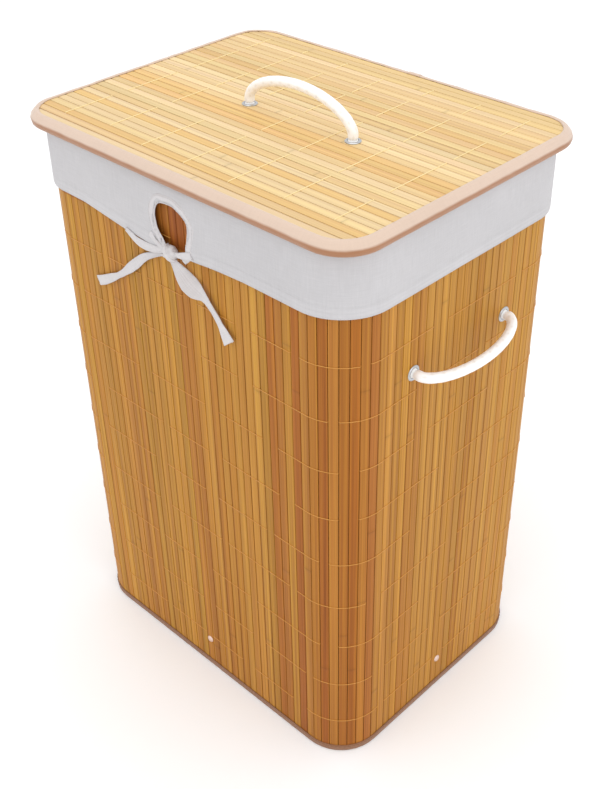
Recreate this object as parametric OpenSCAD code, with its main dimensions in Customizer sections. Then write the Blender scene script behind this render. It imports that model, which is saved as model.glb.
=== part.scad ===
// Slatted bamboo laundry hamper: a lift-off lid, a cotton liner with a tied collar, and rope handles.
// The origin is the middle of the footprint, on the floor. +X is right, the tied front faces -Y, +Z is up.

/* [Overall] */
// Width across the outside of the wall slats
wall_w = 396; // [320:1:520]
// Depth across the outside of the wall slats
wall_d = 296; // [240:1:420]
// Height from the floor to the top of the lid's edge
total_h = 600; // [420:1:760]
// Radius of the wall's upright corners
corner_r = 46; // [32:1:64]
// Clearance left between pieces that move apart
body_gap = 0.3; // [0.2:0.1:0.6]

/* [Slats] */
// Wanted width of one wall slat with its gap
slat_pitch = 9.5; // [7:0.5:14]
// Gap between two slats
slat_gap = 0.8; // [0.5:0.1:1.4]
// Thickness of a slat
slat_t = 1.8; // [1.2:0.1:3]
// Thickness of the cloth that the slats are glued to
backing_t = 0.8; // [0.6:0.1:1.5]
// Narrow facets that take the slats round each corner
corner_slats_n = 7; // [4:1:10]
// Distance between two rows of binding thread
row_pitch = 54; // [36:1:80]
// Width of a thread
thread_w = 0.9; // [0.5:0.1:1.5]
// Height of a thread over the slats
thread_t = 0.4; // [0.2:0.1:0.6]
// Width of the tape that joins the two ends of the slat mat
seam_w = 30; // [20:1:50]
// Sideways place of that seam on the back wall
seam_x = -90; // [-120:1:-40]

/* [Edge binding] */
// Thickness of the binding tape
binding_t = 1; // [0.6:0.1:1.6]
// How far the tape covers the wall at the rim and at the foot
binding_h = 12; // [8:1:20]
// Room round a wire inside its binding
wire_gap = 0.2; // [0.1:0.05:0.3]

/* [Base] */
// Distance from the wall's outer face to the edge of the base
base_gap = 8; // [7.5:0.5:12]
// Corner radius of the base
base_r = 54; // [30:1:70]
// Height of the base's underside over the floor
base_foot = 5; // [4:0.5:12]
// Thickness of the base's board
board_t = 1.6; // [1.2:0.1:4]
// How far the base's edge tape reaches in
base_tape_w = 8; // [6:1:14]
// Width of a tab that carries the base
tab_w = 30; // [20:1:50]
// Height of a tab up the wall
tab_h = 55; // [52:1:90]
// Thickness of a tab
tab_t = 1.2; // [0.8:0.1:2]
// How far a tab reaches under the base
tab_reach = 25; // [16:1:40]
// Height of the rivets that hold the tabs
rivet_z = 40; // [30:1:46]
// Shank diameter of a rivet
rivet_d = 3; // [2:0.5:4]
// Head diameter of a rivet
rivet_head_d = 8; // [6:0.5:12]
// Height of a rivet's domed head
rivet_head_h = 1.8; // [1:0.1:3]
// Thickness of a rivet's washer
washer_t = 0.8; // [0.5:0.1:1]
// Length of the cloth hinge on the back edge of the base
hinge_w = 240; // [160:1:260]
// Reach of each leg of the cloth hinge
hinge_leg = 20; // [12:1:30]
// Thickness of the cloth hinge
hinge_t = 0.8; // [0.5:0.1:1.2]

/* [Liner] */
// Thickness of the liner's cloth
cloth_t = 1; // [0.6:0.1:1.6]
// Height of the collar that folds down outside the rim
collar_h = 60; // [44:1:110]
// Height of the collar's hem
hem_h = 10; // [6:1:16]
// Thickness that the hem adds
hem_t = 0.6; // [0.3:0.1:1]
// Width of the keyhole opening at the front of the collar
keyhole_w = 39; // [24:1:60]
// Height of the keyhole opening
keyhole_h = 37; // [30:1:42]
// Width of the tape round the keyhole
keyhole_tape_w = 6; // [4:1:10]
// Thickness of the tape round the keyhole
keyhole_tape_t = 0.8; // [0.4:0.1:1.2]
// Room between the liner's neck and the rim binding
neck_gap = 0.6; // [0.4:0.1:1.5]
// Depth of the neck that hangs close to the wall
neck_h = 40; // [24:1:70]
// Distance from the wall's outer face to the bag at the front and back
bag_gap_long = 8; // [7:0.5:14]
// The same at the two ends, where the rope knots need room
bag_gap_short = 26; // [24:0.5:40]
// Corner radius of the bag
bag_r = 34; // [20:1:60]
// Height of the bag's floor over the floor
bag_floor = 13; // [12.5:0.5:20]

/* [Tie] */
// Radius of the knot in the tie
knot_r = 8; // [6:0.5:9]
// Depth of the knot from front to back
knot_depth = 7; // [5:0.5:7.5]
// Width of the tie tape
tie_w = 9; // [6:0.5:12]
// Thickness of the tie tape
tie_t = 1.6; // [1.2:0.1:2]

/* [Lid] */
// How far the lid reaches out past the wall slats
lid_lap = 9; // [6:0.5:16]
// Corner radius of the lid
lid_r = 38; // [30:1:60]
// Thickness of the lid's bound edge
lid_t = 12; // [11:0.5:18]
// How far the lid's binding reaches in over the slats
lid_binding_w = 9; // [8:0.5:14]
// How far the slats lie under the top of the binding
lid_sink = 1.3; // [1.1:0.1:2]
// Wanted width of one lid slat with its gap
lid_slat_pitch = 9.2; // [7:0.1:14]
// Diameter of the wire that frames the lid
lid_wire_d = 4; // [3:0.5:4.5]
// Width of the two battens under the lid
batten_w = 24; // [18:1:40]
// Thickness of a batten
batten_t = 4; // [3:0.5:4.5]

/* [Rope handles] */
// Diameter of the rope
rope_d = 9.5; // [7:0.5:11]
// Distance between the two eyelets of a handle
handle_span = 127; // [100:1:150]
// Distance from the top of the lid down to the side eyelets
handle_drop = 154; // [120:1:200]
// Reach of a side handle from its eyelets
side_reach = 21; // [20:1:60]
// Angle at which a side handle hangs, from straight down
side_tilt = 76; // [20:1:80]
// Rise of the lid handle over its eyelets
lid_rise = 27; // [26:1:60]
// Sideways place of the lid handle
lid_handle_x = 12; // [-20:1:20]
// Place of the lid handle from front to back
lid_handle_y = -5; // [-20:1:20]
// Radial room between the rope and its eyelet
rope_gap = 0.3; // [0.2:0.1:0.6]
// Wall of an eyelet's barrel
barrel_t = 0.5; // [0.4:0.1:0.8]
// Width of an eyelet's flange beyond its barrel
flange_w = 1.8; // [1.2:0.1:3]
// Height of an eyelet's flange
flange_h = 1.2; // [0.8:0.1:1.6]
// Diameter of the stopper knot inside
stop_d = 20; // [16:0.5:22]
// Depth of the stopper knot
stop_h = 13; // [9:0.5:14]

/* [Hidden] */
$fn = 48;

eps = 1;
wall_t = slat_t + backing_t;
wire_d = wall_t - 2*wire_gap;

// Heights
lid_z = total_h - lid_t;
rim_top = lid_z - body_gap;
wall_top = rim_top - cloth_t - body_gap;
slat_z0 = binding_t + wire_d + 2*wire_gap;
slat_z1 = wall_top - slat_z0;
rim_z = wall_top - binding_h;
handle_z = total_h - handle_drop;
collar_z = rim_top - collar_h;
neck_z = rim_top - neck_h;

// Insets, measured inwards from the outer face of the wall slats
collar_in = -(binding_t + body_gap);
collar_out = collar_in - cloth_t;
hem_out = collar_out - hem_t;
neck_out = wall_t + binding_t + neck_gap;
neck_in = neck_out + cloth_t;
tab_out = wall_t + binding_t;
tab_in = tab_out + tab_t;

// Facets: the wall's corners turn in equal steps, so every slat lies on one flat facet
corner_step = 90/(corner_slats_n + 1);
facet_w = 2*corner_r*tan(corner_step/2);
// Inset of the frame wires: the middle of the room that the facets of a corner leave
wire_in = wall_t/2 - (corner_r - wall_t)*(1/cos(corner_step/2) - 1)/2;
front_run = wall_w - 2*corner_r + facet_w;
side_run = wall_d - 2*corner_r + facet_w;
front_n = round(front_run/slat_pitch);
side_n = round(side_run/slat_pitch);

// Base
base_w = wall_w - 2*base_gap;
base_d = wall_d - 2*base_gap;
base_tape_z1 = base_foot + 2*binding_t + slat_t + board_t;
hinge_y = base_d/2;

// Bag
bag_w = wall_w - 2*bag_gap_short;
bag_d = wall_d - 2*bag_gap_long;

// Eyelets and ropes
hole_r = rope_d/2 + rope_gap;
barrel_r = hole_r + barrel_t;
bore_r = barrel_r + 0.1;
flange_r = barrel_r + flange_w;
side_pivot = flange_h + body_gap + rope_d/2;
half_span = handle_span/2;
knot_gap = 0.2;

// Lid
lid_w = wall_w + 2*lid_lap;
lid_d = wall_d + 2*lid_lap;
lid_slat_top = total_h - lid_sink;
lid_slat_z = lid_slat_top - slat_t;
lid_backing_z = lid_slat_z - backing_t;
batten_z = lid_backing_z - batten_t;
lid_inset = binding_t + 0.4;
lid_slat_run = lid_d - 2*lid_inset;
lid_slat_n = round(lid_slat_run/lid_slat_pitch);
lid_pivot_z = lid_slat_top + flange_h + body_gap + rope_d/2;

// Tie tails: places on the front, across and up, measured from the knot's middle
knot_z = collar_z - 5;
knot_y = -(wall_d/2 - collar_in + knot_depth/2);
tail_y = -(wall_d/2 - collar_in + tie_t/2);
left_tail = [[-6, -5], [-20, -9], [-34, -18], [-52, -32], [-68, -43], [-84, -52], [-99, -61], [-114, -69]];
left_tail_w = [0.5, 0.8, 1, 1, 0.75, 0.45, 0.7, 0.8];
right_tail = [[4, -8], [11, -14], [19, -20], [27, -26], [35, -32],
              [42, -39], [49, -47], [58, -56], [68, -66]];
right_tail_w = [0.6, 1, 1.4, 1.7, 1.5, 0.8, 0.65, 0.8, 1.1];

// ---------------------------------------------------------------- outlines

// Rounded rectangle with flat-sided corners, moved inwards by inset; steps facets turn each corner
function rounded(w, d, r, inset, steps) = [
    for (q = [0:3])
        let (cx = (q == 0 || q == 3 ? 1 : -1)*(w/2 - r), cy = (q < 2 ? 1 : -1)*(d/2 - r))
            for (k = [0:steps])
                let (turn = 90/(steps + 1), a = 90*q + (k + 0.5)*turn, v = (r - inset)/cos(turn/2))
                    [cx + v*cos(a), cy + v*sin(a)]];
function wall_line(inset) = rounded(wall_w, wall_d, corner_r, inset, corner_slats_n);
function base_line(inset) = rounded(base_w, base_d, base_r, inset, 9);
function bag_line(inset) = rounded(bag_w, bag_d, bag_r, inset, 7);
function lid_line(inset) = rounded(lid_w, lid_d, lid_r, inset, 9);

module plate(line, z0, z1) {
    translate([0, 0, z0]) linear_extrude(z1 - z0) polygon(line);
}

module ring(outer, inner, z0, z1) {
    difference() {
        plate(outer, z0, z1);
        plate(inner, z0 - eps, z1 + eps);
    }
}

// Turns a shape drawn on the right-hand wall so that it stands on the wall that faces angle
module on_wall(angle, reach) {
    rotate([0, 0, angle]) translate([reach, 0, 0]) children();
}

// A wire hoop round a rounded rectangle, from four straight rods and four bends
module hoop(w, d, r, wire, z) {
    translate([0, 0, z]) {
        for (sx = [-1, 1])
            translate([sx*w/2, -(d/2 - r), 0]) rotate([-90, 0, 0]) cylinder(d = wire, h = d - 2*r);
        for (sy = [-1, 1])
            translate([-(w/2 - r), sy*d/2, 0]) rotate([0, 90, 0]) cylinder(d = wire, h = w - 2*r);
        for (q = [0:3])
            translate([(q == 0 || q == 3 ? 1 : -1)*(w/2 - r), (q < 2 ? 1 : -1)*(d/2 - r), 0])
                rotate([0, 0, 90*q]) rotate_extrude(angle = 90) translate([r, 0]) circle(d = wire);
    }
}

// ---------------------------------------------------------------- rope and tape sweeps

function unit(v) = v/norm(v);
function tangent(path, i) = unit(path[min(i + 1, len(path) - 1)] - path[max(i - 1, 0)]);

// A closed tube along a path that lies in one plane. Each ring's half sizes are across, in the plane,
// and thick, along the plane's normal
module sweep(path, normal, across, thick, sides) {
    last = len(path) - 1;
    points = [for (i = [0:last])
        let (side = cross(normal, tangent(path, i)))
            for (k = [0:sides - 1])
                let (a = 360*(k + 0.5)/sides) path[i] + across[i]*cos(a)*side + thick[i]*sin(a)*normal];
    skin = [for (i = [0:last - 1], k = [0:sides - 1])
        let (n = (k + 1)%sides)
            [i*sides + k, i*sides + n, (i + 1)*sides + n, (i + 1)*sides + k]];
    ends = [[for (k = [sides - 1:-1:0]) k], [for (k = [0:sides - 1]) last*sides + k]];
    polyhedron(points, concat(skin, ends), convexity = 6);
}

// The bow of a handle: half an oval of the given rise over the span between its eyelets, carried on at
// each end by the rings of a round end. Each entry is its place across, its place up and its radius
round_end = [80, 60, 40, 20];
function bow(rise) = concat(
    [for (a = round_end) [-half_span, -sin(a)*rope_d/2, cos(a)*rope_d/2]],
    [for (t = [-90:7.5:90]) [half_span*sin(t), rise*cos(t), rope_d/2]],
    [for (i = [3:-1:0]) [half_span, -sin(round_end[i])*rope_d/2, cos(round_end[i])*rope_d/2]]);

// A stopper knot, or any other flat round bun, on the Z axis
module bun(r, h) {
    rotate_extrude() polygon([[0, -h/2], [0.7*r, -h/2], [r, -0.2*h], [r, 0.2*h], [0.7*r, h/2], [0, h/2]]);
}

// An eyelet on the Z axis: its flange stands on z = 0 and its barrel goes down through the grip
module eyelet(grip) {
    rotate_extrude() polygon([
        [hole_r, -grip - washer_t], [barrel_r, -grip - washer_t], [barrel_r, 0], [flange_r, 0],
        [flange_r, 0.5*flange_h], [flange_r - 0.5*flange_w, flange_h], [hole_r, flange_h]]);
}

module eyelet_washer() {
    difference() {
        cylinder(r = flange_r, h = washer_t);
        translate([0, 0, -eps]) cylinder(r = bore_r, h = washer_t + 2*eps);
    }
}

// The rope from the top of an eyelet down to its stopper knot
module rope_end(grip) {
    shank = grip + washer_t + knot_gap;
    translate([0, 0, -shank]) cylinder(d = rope_d, h = shank + flange_h);
    translate([0, 0, -shank - stop_h/2]) bun(stop_d/2, stop_h);
}

// ---------------------------------------------------------------- places on the wall

// Puts a shape drawn up the Z axis at each eyelet of the handle on the wall that faces angle
module at_side_eyelets(angle) {
    for (s = [-1, 1])
        on_wall(angle, wall_w/2) translate([0, s*half_span, handle_z]) rotate([0, 90, 0]) children();
}

// Puts a shape drawn up the Z axis at each rivet: front, right and left
module at_rivets() {
    for (place = [[0, wall_w/2], [180, wall_w/2], [270, wall_d/2]])
        on_wall(place[0], place[1]) translate([0, 0, rivet_z]) rotate([0, 90, 0]) children();
}

module side_bores(r, angles) {
    for (a = angles)
        at_side_eyelets(a) translate([0, 0, -wall_t - eps]) cylinder(r = r, h = wall_t + 2*eps);
}

module rivet_bores(r) {
    at_rivets() translate([0, 0, -tab_in - eps]) cylinder(r = r, h = tab_in + 2*eps);
}

// ---------------------------------------------------------------- wall

// A row of flat slats on the wall that faces angle
module slat_row(angle, reach, run, count) {
    w = run/count - slat_gap;
    on_wall(angle, reach)
        for (i = [0:count - 1])
            translate([-slat_t, (i - (count - 1)/2)*run/count - w/2, slat_z0])
                cube([slat_t, w, slat_z1 - slat_z0]);
}

module front_slats() {
    color("#c58a47") difference() {
        slat_row(270, wall_d/2, front_run, front_n);
        rivet_bores(rivet_d/2 + 0.1);
    }
}

module back_slats() {
    color("#bd8240") slat_row(90, wall_d/2, front_run, front_n);
}

module right_slats() {
    color("#c88e4a") difference() {
        slat_row(0, wall_w/2, side_run, side_n);
        side_bores(bore_r, [0]);
        rivet_bores(rivet_d/2 + 0.1);
    }
}

module left_slats() {
    color("#c08545") difference() {
        slat_row(180, wall_w/2, side_run, side_n);
        side_bores(bore_r, [180]);
        rivet_bores(rivet_d/2 + 0.1);
    }
}

module corner_slats() {
    w = facet_w - slat_gap;
    color("#c99150")
        for (q = [0:3], k = [1:corner_slats_n])
            translate([(q == 0 || q == 3 ? 1 : -1)*(wall_w/2 - corner_r),
                       (q < 2 ? 1 : -1)*(wall_d/2 - corner_r), slat_z0])
                rotate([0, 0, 90*q + k*corner_step])
                    translate([corner_r - slat_t, -w/2, 0]) cube([slat_t, w, slat_z1 - slat_z0]);
}

module wall_backing() {
    color("#8a5a30") difference() {
        ring(wall_line(slat_t), wall_line(wall_t), slat_z0, slat_z1);
        side_bores(bore_r, [0, 180]);
        rivet_bores(rivet_d/2 + 0.1);
    }
}

// Thread rows keep their distance from the handle, and stop at each eyelet and rivet
module wall_threads() {
    first = handle_z - 20 - row_pitch*floor((handle_z - 20 - binding_h - thread_w)/row_pitch);
    color("#e0ab62") difference() {
        for (z = [first:row_pitch:rim_z - thread_w])
            ring(wall_line(-thread_t), wall_line(0), z - thread_w/2, z + thread_w/2);
        at_side_eyelets(0) cylinder(r = flange_r + 0.3, h = 2*eps);
        at_side_eyelets(180) cylinder(r = flange_r + 0.3, h = 2*eps);
        at_rivets() cylinder(r = rivet_head_d/2 + 0.3, h = 2*eps);
    }
}

// The tape inside the back wall that closes the slat mat into a tube
module wall_seam_tape() {
    color("#9c6b3c") translate([seam_x - seam_w/2, wall_d/2 - wall_t - backing_t, binding_h])
        cube([seam_w, backing_t, rim_z - binding_h]);
}

// A tape folded round the wall's edge: its web closes the end at z_web
module edge_binding(z0, z1, open0, open1) {
    difference() {
        ring(wall_line(-binding_t), wall_line(wall_t + binding_t), z0, z1);
        ring(wall_line(0), wall_line(wall_t), open0, open1);
    }
}

module rim_binding() {
    color("#5b4433") edge_binding(rim_z, wall_top, rim_z - eps, wall_top - binding_t);
}

module foot_binding() {
    color("#5b4433") edge_binding(0, binding_h, binding_t, binding_h + eps);
}

module wall_hoop(z) {
    hoop(wall_w - 2*wire_in, wall_d - 2*wire_in, corner_r - wire_in, wire_d, z);
}

module rim_wire() {
    color("#8d9094") wall_hoop(wall_top - binding_t - wire_gap - wire_d/2);
}

module foot_wire() {
    color("#8d9094") wall_hoop(binding_t + wire_gap + wire_d/2);
}

// ---------------------------------------------------------------- base and what carries it

// Cloth tabs riveted to the wall, with a foot that reaches under the base
module base_tabs() {
    foot_z1 = base_foot - body_gap;
    color("#6d4a2c") difference() {
        for (place = [[0, wall_w/2], [180, wall_w/2], [270, wall_d/2]])
            on_wall(place[0], place[1]) {
                translate([-tab_in, -tab_w/2, foot_z1 - tab_t]) cube([tab_t, tab_w, tab_h]);
                translate([-tab_out - tab_reach, -tab_w/2, foot_z1 - tab_t]) cube([tab_reach, tab_w, tab_t]);
            }
        rivet_bores(rivet_d/2 + 0.1);
    }
}

// Domed head outside, shank through wall and tab, and a flattened tail inside the washer
module tab_rivets() {
    tail = tab_in + washer_t;
    head_r = rivet_head_d/2;
    color("#e8c9bd") at_rivets() rotate_extrude() polygon([
        [0, -tail - 0.5], [rivet_d/2 + 0.4, -tail - 0.5], [rivet_d/2 + 0.4, -tail], [rivet_d/2, -tail],
        [rivet_d/2, 0], [head_r, 0], [0.92*head_r, 0.4*rivet_head_h], [0.7*head_r, 0.75*rivet_head_h],
        [0.36*head_r, 0.95*rivet_head_h], [0, rivet_head_h]]);
}

module tab_washers() {
    color("#c9ccd0") at_rivets() translate([0, 0, -tab_in - washer_t]) difference() {
        cylinder(d = rivet_head_d, h = washer_t);
        translate([0, 0, -eps]) cylinder(d = rivet_d + 0.2, h = washer_t + 2*eps);
    }
}

// The fixed leg of the cloth hinge, on the back wall, with a lip that reaches in over the gap
module hinge_wall_leg() {
    lip_y0 = hinge_y + 2*body_gap;
    color("#6d4a2c") translate([-hinge_w/2, 0, base_tape_z1]) {
        translate([0, wall_d/2 - tab_out - hinge_t, 0]) cube([hinge_w, hinge_t, hinge_leg]);
        translate([0, lip_y0, 0]) cube([hinge_w, wall_d/2 - tab_out - hinge_t - lip_y0, hinge_t]);
    }
}

module hinge_base_leg() {
    color("#6d4a2c") translate([-hinge_w/2, hinge_y - hinge_leg, base_tape_z1])
        cube([hinge_w, hinge_leg, hinge_t]);
}

// Half the length of a slat that fits a rounded outline, when its outer edge lies at y
function half_length(w, d, r, y) =
    w/2 - r + sqrt(max(0, r*r - pow(max(0, abs(y) - (d/2 - r)), 2)));

// Slats along X that fill a rounded outline
module flat_slats(w, d, r, count, z) {
    run = d/count;
    for (i = [0:count - 1]) {
        y = (i - (count - 1)/2)*run;
        slat_w = run - slat_gap;
        half = half_length(w, d, r, abs(y) + slat_w/2);
        translate([-half, y - slat_w/2, z]) cube([2*half, slat_w, slat_t]);
    }
}

module base_slats() {
    w = base_w - 2*binding_t;
    d = base_d - 2*binding_t;
    color("#b97d42") flat_slats(w, d, base_r - binding_t, round(d/slat_pitch), base_foot + binding_t);
}

module base_board() {
    top = base_tape_z1 - binding_t;
    color("#a77b4e") plate(base_line(binding_t), top - board_t, top);
}

module base_binding() {
    color("#5b4433") difference() {
        ring(base_line(0), base_line(base_tape_w), base_foot, base_tape_z1);
        plate(base_line(binding_t), base_foot + binding_t, base_tape_z1 - binding_t);
    }
}

// ---------------------------------------------------------------- rope handles on the ends

module right_eyelets() { color("#b9bcc0") at_side_eyelets(0) eyelet(wall_t); }

module left_eyelets() { color("#b9bcc0") at_side_eyelets(180) eyelet(wall_t); }

module eyelet_washers() {
    color("#b9bcc0") for (a = [0, 180])
        at_side_eyelets(a) translate([0, 0, -wall_t - washer_t]) eyelet_washer();
}

module right_rope_ends() { color("#f6f4f2") at_side_eyelets(0) rope_end(wall_t); }

module left_rope_ends() { color("#f6f4f2") at_side_eyelets(180) rope_end(wall_t); }

// The rope bow, whose round ends sit on the line that it swings about
module side_handle(angle) {
    out = [sin(side_tilt), 0, -cos(side_tilt)];
    line = bow(side_reach);
    radii = [for (p = line) p[2]];
    on_wall(angle, wall_w/2 + side_pivot) translate([0, 0, handle_z])
        sweep([for (p = line) p[1]*out + [0, p[0], 0]], cross([0, 1, 0], out), radii, radii, 12);
}

module right_rope_handle() { color("#fbfaf8") side_handle(0); }

module left_rope_handle() { color("#fbfaf8") side_handle(180); }

// ---------------------------------------------------------------- liner

// Neck against the wall, a shelf over the rope knots, the bag and its floor
module liner_bag() {
    color("#dcdadb") {
        ring(wall_line(neck_out), wall_line(neck_in), neck_z, rim_top - cloth_t);
        ring(wall_line(neck_out), bag_line(cloth_t), neck_z - cloth_t, neck_z);
        ring(bag_line(0), bag_line(cloth_t), bag_floor, neck_z - cloth_t);
        plate(bag_line(cloth_t), bag_floor, bag_floor + cloth_t);
    }
}

// The keyhole at the front of the collar, grown by grow
module keyhole(grow, y0, y1) {
    r = keyhole_w/2 + grow;
    translate([0, y1, collar_z]) rotate([90, 0, 0]) linear_extrude(y1 - y0) {
        translate([-r, -eps]) square([2*r, keyhole_h - keyhole_w/2 + eps]);
        translate([0, keyhole_h - keyhole_w/2]) circle(r = r);
    }
}

module liner_collar() {
    color("#dcdadb") difference() {
        union() {
            ring(wall_line(collar_out), wall_line(collar_in), collar_z, rim_top - cloth_t);
            ring(wall_line(collar_out), wall_line(neck_in), rim_top - cloth_t, rim_top);
        }
        keyhole(0, -wall_d, -wall_d/2 + corner_r/2);
    }
}

module collar_hem() {
    color("#d3d1d3") difference() {
        ring(wall_line(hem_out), wall_line(collar_out), collar_z, collar_z + hem_h);
        keyhole(keyhole_tape_w + 0.2, -wall_d, -wall_d/2 + corner_r/2);
    }
}

module keyhole_tape() {
    y1 = -(wall_d/2 - collar_out);
    color("#e6e2e4") difference() {
        intersection() {
            keyhole(keyhole_tape_w, y1 - keyhole_tape_t, y1);
            translate([-keyhole_w, y1 - 2*eps, collar_z]) cube([2*keyhole_w, 3*eps, 2*keyhole_h]);
        }
        keyhole(0, y1 - 2*eps, y1 + eps);
    }
}

// Draws a flat tape on the front from places measured from the knot's middle
module front_tape(places, widths, y, thick) {
    sweep([for (p = places) [p[0], y, knot_z + p[1]]], [0, -1, 0],
          [for (w = widths) w*tie_w/2], [for (w = widths) thick/2], 8);
}

// The tape between the hem and the knot, on both sides
module tie_loops() {
    y = -(wall_d/2 - collar_out) - keyhole_tape_t - tie_t/2 - 0.1;
    end_x = keyhole_w/2 + keyhole_tape_w/2;
    color("#e6e2e4") {
        front_tape([[-58, 1.5], [-46, -4], [-36, -6.5], [-22, -5], [-knot_r - 0.4, -2]],
                   [0.4, 0.7, 0.8, 0.7, 0.4], y, tie_t);
        front_tape([[-end_x, 10], [-16, 4], [-knot_r - 0.2, 2.4]], [0.6, 0.5, 0.35], y, tie_t);
        front_tape([[end_x, 4], [16, 1], [knot_r + 0.3, -0.5]], [0.9, 0.8, 0.5], y, tie_t);
    }
}

module tie_knot() {
    color("#ece8ea") translate([0, knot_y, knot_z]) rotate([90, 0, 0]) bun(knot_r, knot_depth);
}

module tie_tail_left() {
    color("#e6e2e4") front_tape(left_tail, left_tail_w, tail_y, tie_t);
}

module tie_tail_right() {
    color("#e6e2e4") front_tape(right_tail, right_tail_w, tail_y, tie_t);
}

// ---------------------------------------------------------------- lid

// Puts a shape drawn up the Z axis at each eyelet of the lid handle, on top of the slats
module at_lid_eyelets() {
    for (s = [-1, 1])
        translate([lid_handle_x + s*half_span, lid_handle_y, lid_slat_top]) children();
}

lid_grip = lid_slat_top - batten_z;

module lid_bores() {
    at_lid_eyelets() translate([0, 0, -lid_grip - eps]) cylinder(r = bore_r, h = lid_grip + 2*eps);
}

module lid_slats() {
    color("#efcb8c") difference() {
        flat_slats(lid_w - 2*lid_inset, lid_slat_run, lid_r - lid_inset, lid_slat_n, lid_slat_z);
        lid_bores();
    }
}

// Thread rows across the slats, on both sides of the handle
module lid_threads() {
    edge = lid_w/2 - lid_r;
    half = lid_d/2 - lid_binding_w - 0.3;
    color("#f6dca6") difference() {
        for (x = [-row_pitch*floor(edge/row_pitch):row_pitch:edge])
            translate([x - thread_w/2, -half, lid_slat_top]) cube([thread_w, 2*half, thread_t]);
        at_lid_eyelets() translate([0, 0, -eps]) cylinder(r = flange_r + 0.3, h = 3*eps);
    }
}

module lid_backing() {
    color("#b99564") difference() {
        plate(lid_line(lid_inset), lid_backing_z, lid_slat_z);
        lid_bores();
    }
}

module lid_battens() {
    half = lid_d/2 - lid_inset - lid_wire_d - 4*wire_gap;
    color("#caa26a") difference() {
        for (s = [-1, 1])
            translate([lid_handle_x + s*half_span - batten_w/2, -half, batten_z])
                cube([batten_w, 2*half, batten_t]);
        lid_bores();
    }
}

module lid_wire() {
    inset = binding_t + wire_gap + lid_wire_d/2;
    color("#8d9094")
        hoop(lid_w - 2*inset, lid_d - 2*inset, lid_r - inset, lid_wire_d,
             lid_z + binding_t + wire_gap + lid_wire_d/2);
}

module lid_binding() {
    color("#ead2bb") difference() {
        ring(lid_line(0), lid_line(lid_binding_w), lid_z, total_h);
        plate(lid_line(binding_t), lid_z + binding_t, total_h - lid_sink + thread_t);
    }
}

module lid_eyelets() { color("#b9bcc0") at_lid_eyelets() eyelet(lid_grip); }

module lid_washers() {
    color("#b9bcc0") at_lid_eyelets() translate([0, 0, -lid_grip - washer_t]) eyelet_washer();
}

module lid_rope_ends() { color("#f6f4f2") at_lid_eyelets() rope_end(lid_grip); }

module lid_rope_handle() {
    line = bow(lid_rise);
    radii = [for (p = line) p[2]];
    color("#fbfaf8") translate([lid_handle_x, lid_handle_y, lid_pivot_z])
        sweep([for (p = line) [p[0], 0, p[1]]], [0, -1, 0], radii, radii, 12);
}

// ---------------------------------------------------------------- nodes

front_slats();
back_slats();
right_slats();
left_slats();
corner_slats();
wall_backing();
wall_threads();
wall_seam_tape();
rim_wire();
rim_binding();
foot_wire();
foot_binding();
base_tabs();
tab_rivets();
tab_washers();
hinge_wall_leg();
base_slats();
base_board();
base_binding();
hinge_base_leg();
right_eyelets();
left_eyelets();
eyelet_washers();
right_rope_ends();
left_rope_ends();
right_rope_handle();
left_rope_handle();
liner_bag();
liner_collar();
collar_hem();
keyhole_tape();
tie_loops();
tie_knot();
tie_tail_left();
tie_tail_right();
lid_slats();
lid_threads();
lid_backing();
lid_battens();
lid_wire();
lid_binding();
lid_eyelets();
lid_washers();
lid_rope_ends();
lid_rope_handle();
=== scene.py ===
"""Laundry hamper with a lid: walls of bamboo slats on a wire frame, a folding base, a cotton liner
with a tied keyhole, and three rope handles. The sections follow the order in which it is put together."""
import math
import random

import bpy
import numpy as np
from mathutils import Matrix, Vector, noise
from mathutils.kdtree import KDTree


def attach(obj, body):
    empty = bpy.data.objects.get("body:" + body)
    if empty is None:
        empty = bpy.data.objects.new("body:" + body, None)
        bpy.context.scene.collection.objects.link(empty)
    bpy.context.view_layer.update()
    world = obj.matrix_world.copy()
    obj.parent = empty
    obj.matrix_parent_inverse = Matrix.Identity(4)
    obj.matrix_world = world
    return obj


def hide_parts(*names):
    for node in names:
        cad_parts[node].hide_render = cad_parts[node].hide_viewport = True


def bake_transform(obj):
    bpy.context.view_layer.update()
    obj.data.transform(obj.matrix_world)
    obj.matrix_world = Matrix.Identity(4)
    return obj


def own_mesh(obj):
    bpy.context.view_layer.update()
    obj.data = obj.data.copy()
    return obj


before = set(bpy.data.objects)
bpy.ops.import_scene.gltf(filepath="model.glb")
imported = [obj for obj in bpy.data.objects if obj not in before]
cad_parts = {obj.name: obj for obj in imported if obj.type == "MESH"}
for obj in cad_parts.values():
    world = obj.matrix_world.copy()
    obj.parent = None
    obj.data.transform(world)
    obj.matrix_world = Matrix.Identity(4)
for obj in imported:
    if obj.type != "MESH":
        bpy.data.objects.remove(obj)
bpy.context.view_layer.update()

# ---------------------------------------------------------------- camera
# A portrait lens close to the hamper, seen from the front right and well above the lid,
# leaning a little to one side.
aim = Vector((0.0336, -0.0339, 0.3275))
distance = 1.15
azimuth = math.radians(44.94)
elevation = math.radians(35.78)
lean = math.radians(-1.3)
back = Vector((math.sin(azimuth) * math.cos(elevation), -math.cos(azimuth) * math.cos(elevation),
               math.sin(elevation)))
level = Vector((math.cos(azimuth), math.sin(azimuth), 0))
upright = back.cross(level)
right = level * math.cos(lean) + upright * math.sin(lean)
up = upright * math.cos(lean) - level * math.sin(lean)
lens = bpy.data.cameras.new("portrait_lens")
lens.sensor_fit = "HORIZONTAL"
lens.sensor_width = 36
lens.lens = 69.29
lens.clip_start = 0.01
camera = bpy.data.objects.new("camera", lens)
bpy.context.scene.collection.objects.link(camera)
stand = aim + distance * back
camera.matrix_world = Matrix([[right[i], up[i], back[i], stand[i]] for i in range(3)] + [[0, 0, 0, 1]])
bpy.context.scene.camera = camera
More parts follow.
